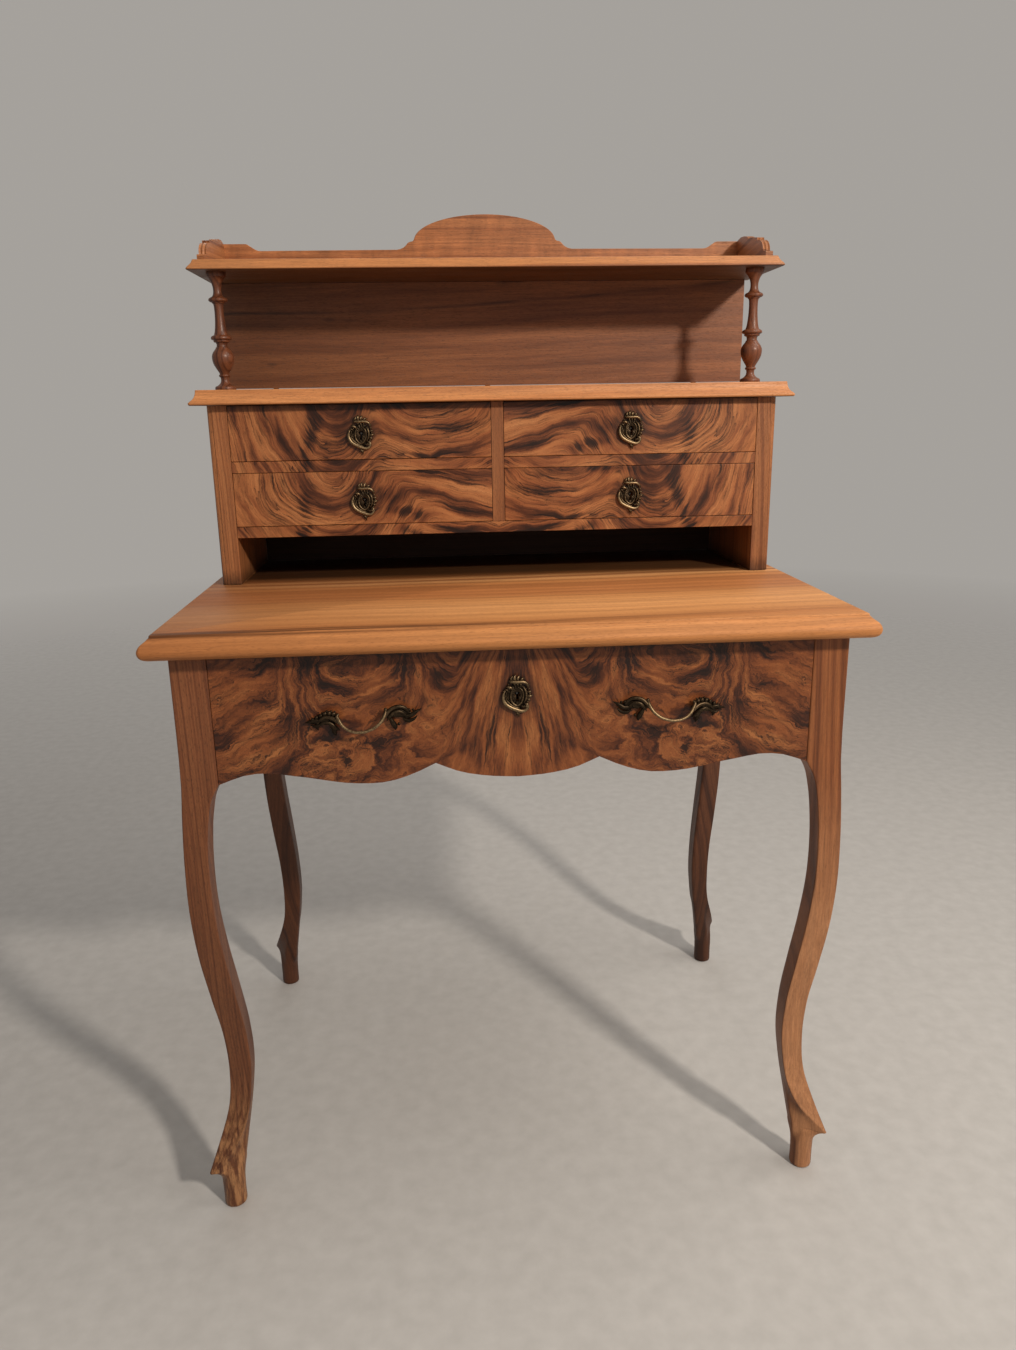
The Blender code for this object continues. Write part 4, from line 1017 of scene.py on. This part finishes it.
# Dark leaves lying on the drawer's face under the scrolls
LEAVES = mm([
    [(-23, -3, 5, 1, 1.4), (-30, -1.5, 4.6, 5.2, 2.2), (-38, -1, 4.2, 5.8, 2.2), (-47, -2.5, 3.8, 5.2, 2),
     (-56, -4, 3.6, 2.8, 1.6), (-62, -4.6, 3.4, 0.4, 0.6)],
    [(26, -1, 6, 1, 1.4), (32, 2.5, 5.4, 4.6, 2.2), (40, 4.5, 4.8, 5.6, 2.2), (48, 2.5, 4.2, 5, 2),
     (56, 0.5, 3.8, 3.2, 1.6), (63, 3.5, 3.6, 0.6, 0.8)]])
INNER_BANDS = mm([
    [(25, -1.5, 12.5, 0.8, 1), (28.5, 4.5, 10.5, 2, 2), (33.5, 9.5, 9, 2.4, 2.2),
     (40.5, 11.8, 8, 2.3, 2.2), (47, 10.8, 7.2, 2.1, 2), (52, 6.5, 6.2, 1.8, 1.8),
     (53.5, 1.5, 5.2, 0.8, 1)],
    [(28.5, -4.5, 6.5, 0.6, 0.8), (31.5, 0.5, 7.6, 2.2, 2), (36, 4.6, 7.8, 2.5, 2.2), (42, 6, 7, 2.2, 2),
     (47.5, 3, 6, 1.8, 1.8), (50.5, -1.5, 5, 1.6, 1.5), (55, -1.5, 4.6, 1, 1)],
    [(37.5, -17, 3, 0.5, 0.8), (37, -12.5, 4.4, 3, 2), (34.5, -7, 5.8, 3, 2.3), (32, -2, 6.6, 1.8, 1.8)],
    [(49, 1, 5.4, 1.2, 1.6), (55, 0.5, 5.8, 2.6, 2), (60.5, 4, 5.2, 2.2, 1.7),
     (67.5, 7.5, 4.2, 0.4, 0.6)],
    [(46, -3, 4.4, 1, 1.4), (51.5, -6, 4.8, 2.4, 1.8), (58, -4.6, 4.4, 1.8, 1.4),
     (62.5, -0.5, 4, 0.4, 0.6)]])
INNER_BEADS = mm([(27.5, 9, 8.6, 2.3), (53.5, 7, 5.4, 1.8), (57.8, 6.6, 5, 1.7), (41.5, -9.5, 4.6, 1.9)])


# The handle's middle and the two posts that fix it to the drawer, each as (along, up)
HANDLE_X, HANDLE_Z = 0.176, 0.655
HANDLE_POSTS = ((-0.040, -0.003), (0.040, 0.003))


def build_handle(side_name, side):
    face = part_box("main_drawer_front")[0].y

    def place(local):
        return Vector((side * HANDLE_X - side * local.x, face - local.z, HANDLE_Z + local.y))

    bm = bmesh.new()
    for stations in [BOW] + OUTER_BANDS + INNER_BANDS + LEAVES:
        tube(bm, stations, place)
    for *middle, radius in OUTER_BEADS + INNER_BEADS:
        bead(bm, middle, radius, place)
    for along, up in HANDLE_POSTS:
        tube(bm, [(along, up, AIR, 0.0050, 0.0050), (along, up + 1e-5, 0.0030, 0.0044, 0.0044),
                  (along, up + 2e-5, 0.0075, 0.0042, 0.0042)], place, steps=2)
    bmesh.ops.recalc_face_normals(bm, faces=bm.faces)
    piece(f"main_handle_{side_name}", "cast", bm, brass(f"handle brass {side_name}", face, 0.003, 0.0165),
          "main_drawer", sharp=60)


def keyhole_radius(angle):
    """Distance from the keyhole's centre to its edge, in a direction."""
    if math.sin(angle) < 0:
        slot = min(0.0013 / max(abs(math.cos(angle)), 1e-6), 0.0085 / abs(math.sin(angle)))
        return max(0.0032, slot)
    return 0.0032


# The plate's edge under the scrolls, as (radius in millimetres, degrees)
SHIELD = [(16, 90), (14, 76), (12, 62), (12.5, 48), (13.4, 35), (12.2, 22), (14.8, 8), (13.2, -4),
          (12, -22), (13.2, -38), (13.8, -52), (15.2, -65), (18, -80), (21.5, -90), (17.5, -102),
          (15.5, -118), (15, -134), (14.8, -150), (15.8, -165), (15, -185), (12.4, -203), (13, -216),
          (10.5, -228), (12, -240), (14, -255), (16, -270)]
CARTOUCHE_STEMS = mm([
    # The long scroll down the left side and round the foot
    [(-13.4, 5, 2.4, 0.5, 0.7), (-15.4, 1.6, 3.4, 1.5, 1.4), (-16.2, -2.6, 3.6, 1.9, 1.7),
     (-15.4, -7, 3.8, 2.1, 1.8), (-12.6, -11.6, 4, 2.3, 1.9), (-7.4, -15.2, 4, 2.4, 1.9),
     (-1.4, -17.8, 4, 2.4, 1.9), (4.2, -19.4, 3.9, 2.2, 1.9), (8.6, -18.8, 3.8, 1.9, 1.7),
     (11.4, -15.4, 3.6, 1.7, 1.5), (10.8, -11.6, 3.4, 1.5, 1.4), (8.4, -11.2, 3.2, 1, 1.1)],
    # Its inner edge
    [(-12, 3.4, 2.2, 0.5, 0.6), (-13.2, -1, 3, 0.8, 1), (-12.4, -6, 3.2, 0.9, 1.1),
     (-8.8, -10.6, 3.4, 1, 1.1), (-3.6, -14.4, 3.4, 0.9, 1.1), (2, -16.2, 3.2, 0.6, 0.8)],
    # Two rings round the keyhole
    [(-4, 7.4, 2.2, 0.6, 0.8), (-6.8, 3, 3, 1, 1.1), (-7.6, -2.6, 3.2, 1.1, 1.2),
     (-6.2, -8.6, 3.3, 1.2, 1.2), (-1.2, -13, 3.5, 1.3, 1.3), (3.6, -10.4, 3.3, 1.1, 1.2),
     (6.2, -4.6, 3.2, 1, 1.1), (6.6, 1.2, 3.2, 1, 1.1), (4.6, 5.8, 3, 0.9, 1), (1, 8.2, 2.6, 0.6, 0.8)],
    [(5.6, 9.4, 2.4, 0.6, 0.8), (8.8, 5.6, 3.2, 1.2, 1.2), (10.2, 0.6, 3.4, 1.3, 1.3),
     (9.8, -5, 3.3, 1.2, 1.2), (7.4, -9.6, 3, 0.7, 0.9)],
    # Crest band running over into the right side
    [(-8, 12.6, 2.6, 0.6, 0.8), (-6.4, 15.2, 3.6, 1.7, 1.6), (-2.6, 14.8, 4, 1.9, 1.8),
     (2.2, 15, 4, 1.9, 1.8), (7.2, 14.6, 3.8, 1.8, 1.6), (11, 12.2, 3.4, 1.6, 1.4),
     (12.4, 8.2, 3, 1, 1.1)],
    # Leaves standing above the crest
    [(-5, 15.6, 2.6, 0.8, 0.9), (-6.8, 18.2, 3.2, 1.7, 1.4), (-6, 20.4, 2.8, 1.3, 1.1),
     (-4.8, 21.4, 2.4, 0.5, 0.7)],
    [(-1.4, 15.8, 2.8, 1, 1), (-3.2, 19, 3.7, 1.9, 1.5), (-2.8, 21.6, 3.2, 1.5, 1.2),
     (-1.4, 22.8, 2.6, 0.6, 0.7)],
    [(1, 15.8, 2.8, 1, 1), (0.6, 18.8, 3.7, 1.9, 1.5), (1.6, 21, 3.2, 1.4, 1.2),
     (3.4, 21.8, 2.6, 0.6, 0.7)],
    [(3.6, 15.6, 2.6, 0.8, 0.9), (4.8, 17.8, 3.3, 1.8, 1.4), (6.8, 18.6, 2.9, 1.4, 1.1),
     (8.6, 18, 2.4, 0.5, 0.7)],
    # Hollow leaf on the left shoulder and the little fronds below it
    [(-12.8, 8.6, 2.4, 0.6, 0.7), (-10.4, 9, 3.4, 1.7, 1.4), (-7.4, 8, 3.6, 1.6, 1.4),
     (-4.8, 5.6, 2.8, 0.6, 0.8)],
    [(-14.6, 6.8, 2.2, 0.5, 0.6), (-12.2, 5.6, 3, 1.2, 1.1), (-9.6, 3.2, 2.6, 0.5, 0.7)],
    [(-10.6, -0.6, 2.4, 0.4, 0.6), (-11, -4.4, 2.8, 1, 1), (-9, -8, 2.4, 0.4, 0.6)],
    # Leaf tips breaking out on the right
    [(11, 3.2, 2.6, 0.8, 0.9), (13.8, 2.6, 3.3, 1.6, 1.3), (15.2, 4, 2.6, 0.8, 0.8)],
    [(11, -1.4, 2.6, 0.8, 0.9), (14.2, -2.2, 3.5, 1.8, 1.4), (16.4, -1.6, 2.8, 1.1, 1),
     (17.8, -0.8, 2.3, 0.4, 0.5)],
    [(10.4, -5, 2.6, 0.8, 0.9), (12.8, -6.4, 3.3, 1.6, 1.3), (14.2, -8.4, 2.6, 0.8, 0.8)],
    [(4.4, -13.4, 2.6, 0.6, 0.8), (6.8, -14.8, 3.2, 1.3, 1.1), (8.2, -13, 3, 1, 1)],
    # Tongue under the foot
    [(-3.4, -19.6, 2.4, 0.6, 0.8), (-0.6, -21.8, 3, 1.5, 1.2), (1.2, -24.6, 2.8, 1.1, 1),
     (1.4, -27.4, 2, 0.4, 0.5)]])
CARTOUCHE_BEADS = mm([(-8.4, 15.6, 2.6, 1.3), (-3.4, 12.2, 3.2, 1.3), (0.2, 12, 3.2, 1.4),
                      (3.8, 11.8, 3.2, 1.3), (13.2, 10.6, 2.6, 1.2), (13, 6.4, 3, 1.4),
                      (14, 0.2, 3, 1.2), (12.6, -3.8, 3.2, 1.2),
                      (11.4, -9, 3, 1.4), (9.6, -14.2, 3.6, 1.5), (1.6, -22.4, 2.8, 1.4), (-1, -24, 2.2, 0.9),
                      (-15.4, 4.2, 3, 1.2), (-9.6, 6, 3, 1.1), (-10, 11.6, 2.6, 1.1), (4.6, -21.4, 2.4, 1.1)])

# The cartouche's own middle lies this far above the CAD plate's
CARTOUCHE_LIFT = 0.0025
PLATE_POINTS = 144


def build_escutcheon(prefix, body):
    drawer = "main_drawer_front" if prefix == "main" else f"{prefix}_drawer_front"
    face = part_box(drawer)[0].y
    low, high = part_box(f"{prefix}_escutcheon")
    x, z = (low.x + high.x) / 2, (low.z + high.z) / 2 + CARTOUCHE_LIFT

    def place(local):
        return Vector((x + local.x, face - local.z, z + local.y))

    rings = [[] for _ in range(7)]
    turns, reaches = zip(*sorted((angle, radius / 1000) for radius, angle in SHIELD))
    for k in range(PLATE_POINTS):
        degrees = 360 * k / PLATE_POINTS
        degrees = degrees - 360 if degrees > 90 else degrees
        reach = float(np.interp(degrees, turns, reaches))
        angle = math.radians(degrees)
        hole = keyhole_radius(angle)
        inner = max(hole + 0.0014, 0.0046)
        fluting = 0.0003 * math.sin(18 * angle)
        levels = ((reach, AIR), (reach, 0.0011), (reach - 0.0010, 0.0018 + fluting),
                  ((reach + inner) / 2, 0.0021 + 1.6 * fluting), (inner, 0.0029), (hole, 0.0024), (hole, AIR))
        for ring, (radius, out) in zip(rings, levels):
            ring.append(place(Vector((radius * math.cos(angle), radius * math.sin(angle), out))))
    bm = loft(rings, ring_shaped=True)
    for stations in CARTOUCHE_STEMS:
        tube(bm, stations, place, steps=4, sides=8)
    for *middle, radius in CARTOUCHE_BEADS:
        bead(bm, middle, radius, place)
    bmesh.ops.recalc_face_normals(bm, faces=bm.faces)
    piece(f"{prefix}_escutcheon", "cast", bm, brass(f"{prefix} escutcheon brass", face), body,
          sharp=60)


def build_fittings():
    metal = steel("lock steel")
    for side_name, side in SIDES:
        build_handle(side_name, side)
    for prefix in ("main",) + SMALL_DRAWERS:
        body = "main_drawer" if prefix == "main" else f"{prefix}_drawer"
        build_escutcheon(prefix, body)
        dress(f"{prefix}_lock", metal, 0)
        dress(f"{prefix}_bolt", metal, 0)


# -------- studio

FLOOR_DROP = 0.0002     # keeps the floor's face clear of the feet
LAMP_TARGET = Vector((0.0, 0.0, 0.85))
# Name, direction from the target, distance, size, power and colour
LAMPS = (("key", (0.524, -0.749, 0.450), 3.4, 0.28, 90.0, (1.0, 0.90, 0.78)),
         ("rear", (-0.05, 0.85, 0.50), 3.6, 2.0, 13.0, (1.0, 0.94, 0.88)),
         ("overhead", (0.75, -0.10, 1.0), 2.1, 1.4, 20.0, (1.0, 0.93, 0.84)))


def build_studio():
    bm = bmesh.new()
    bmesh.ops.create_circle(bm, cap_ends=True, segments=96, radius=9.0)
    mesh = bpy.data.meshes.new("floor")
    bm.to_mesh(mesh)
    bm.free()
    floor = bpy.data.objects.new("floor", mesh)
    floor.location.z = -FLOOR_DROP
    bpy.context.scene.collection.objects.link(floor)
    g = Graph("pale floor")
    grain = g.noise(g.place, 40.0, 3.0)
    g.surface(g.ramp(grain, [(0.3, (0.45, 0.44, 0.43)), (0.7, (0.50, 0.49, 0.48))]), 0.7)
    distance = g.node("ShaderNodeVectorMath", g.place, operation="LENGTH").outputs["Value"]
    clear = g.tree.nodes.new("ShaderNodeBsdfTransparent").outputs[0]
    fade = g.node("ShaderNodeMixShader", g.span(distance, 1.6, 5.0), g.shader.outputs[0], clear)
    g.tree.links.new(fade.outputs[0], g.tree.nodes["Material Output"].inputs["Surface"])
    mesh.materials.append(g.material)

    world = bpy.data.worlds.new("studio")
    world.use_nodes = True
    backdrop = world.node_tree.nodes["Background"]
    backdrop.inputs["Color"].default_value = (0.90, 0.85, 0.79, 1.0)
    backdrop.inputs["Strength"].default_value = 0.42
    bpy.context.scene.world = world

    for name, direction, distance, size, energy, colour in LAMPS:
        lamp = bpy.data.lights.new(name, "AREA")
        lamp.shape = "DISK"
        lamp.size = size
        lamp.energy = energy
        lamp.color = colour
        holder = bpy.data.objects.new(name, lamp)
        holder.location = LAMP_TARGET + Vector(direction).normalized() * distance
        holder.rotation_euler = (LAMP_TARGET - holder.location).to_track_quat("-Z", "Y").to_euler()
        bpy.context.scene.collection.objects.link(holder)


# Down, to the right and about the view, in degrees
CAMERA_PLACE, CAMERA_TURNS, FOCAL_LENGTH = Vector((-0.0822, -1.3061, 0.9903)), (15.478, 3.90, -0.941), 26.027


def build_camera():
    pitch, yaw, roll = (math.radians(turn) for turn in CAMERA_TURNS)
    ahead = Vector((math.sin(yaw) * math.cos(pitch), math.cos(yaw) * math.cos(pitch), -math.sin(pitch)))
    right = Vector((math.cos(yaw), -math.sin(yaw), 0.0))
    up = right.cross(ahead)
    rolled_right = right * math.cos(roll) + up * math.sin(roll)
    rolled_up = up * math.cos(roll) - right * math.sin(roll)
    lens = bpy.data.cameras.new("camera")
    lens.lens = FOCAL_LENGTH
    lens.sensor_width = 36.0
    camera = bpy.data.objects.new("camera", lens)
    bpy.context.scene.collection.objects.link(camera)
    matrix = Matrix((rolled_right, rolled_up, -ahead)).transposed().to_4x4()
    matrix.translation = CAMERA_PLACE
    camera.matrix_world = matrix
    bpy.context.scene.camera = camera


build_camera()
build_studio()
build_base()
build_slabs()
build_cabinet()
build_spindles()
build_gallery()
build_drawers()
build_fittings()
bpy.context.scene.view_settings.view_transform = "Standard"

bpy.context.view_layer.update()
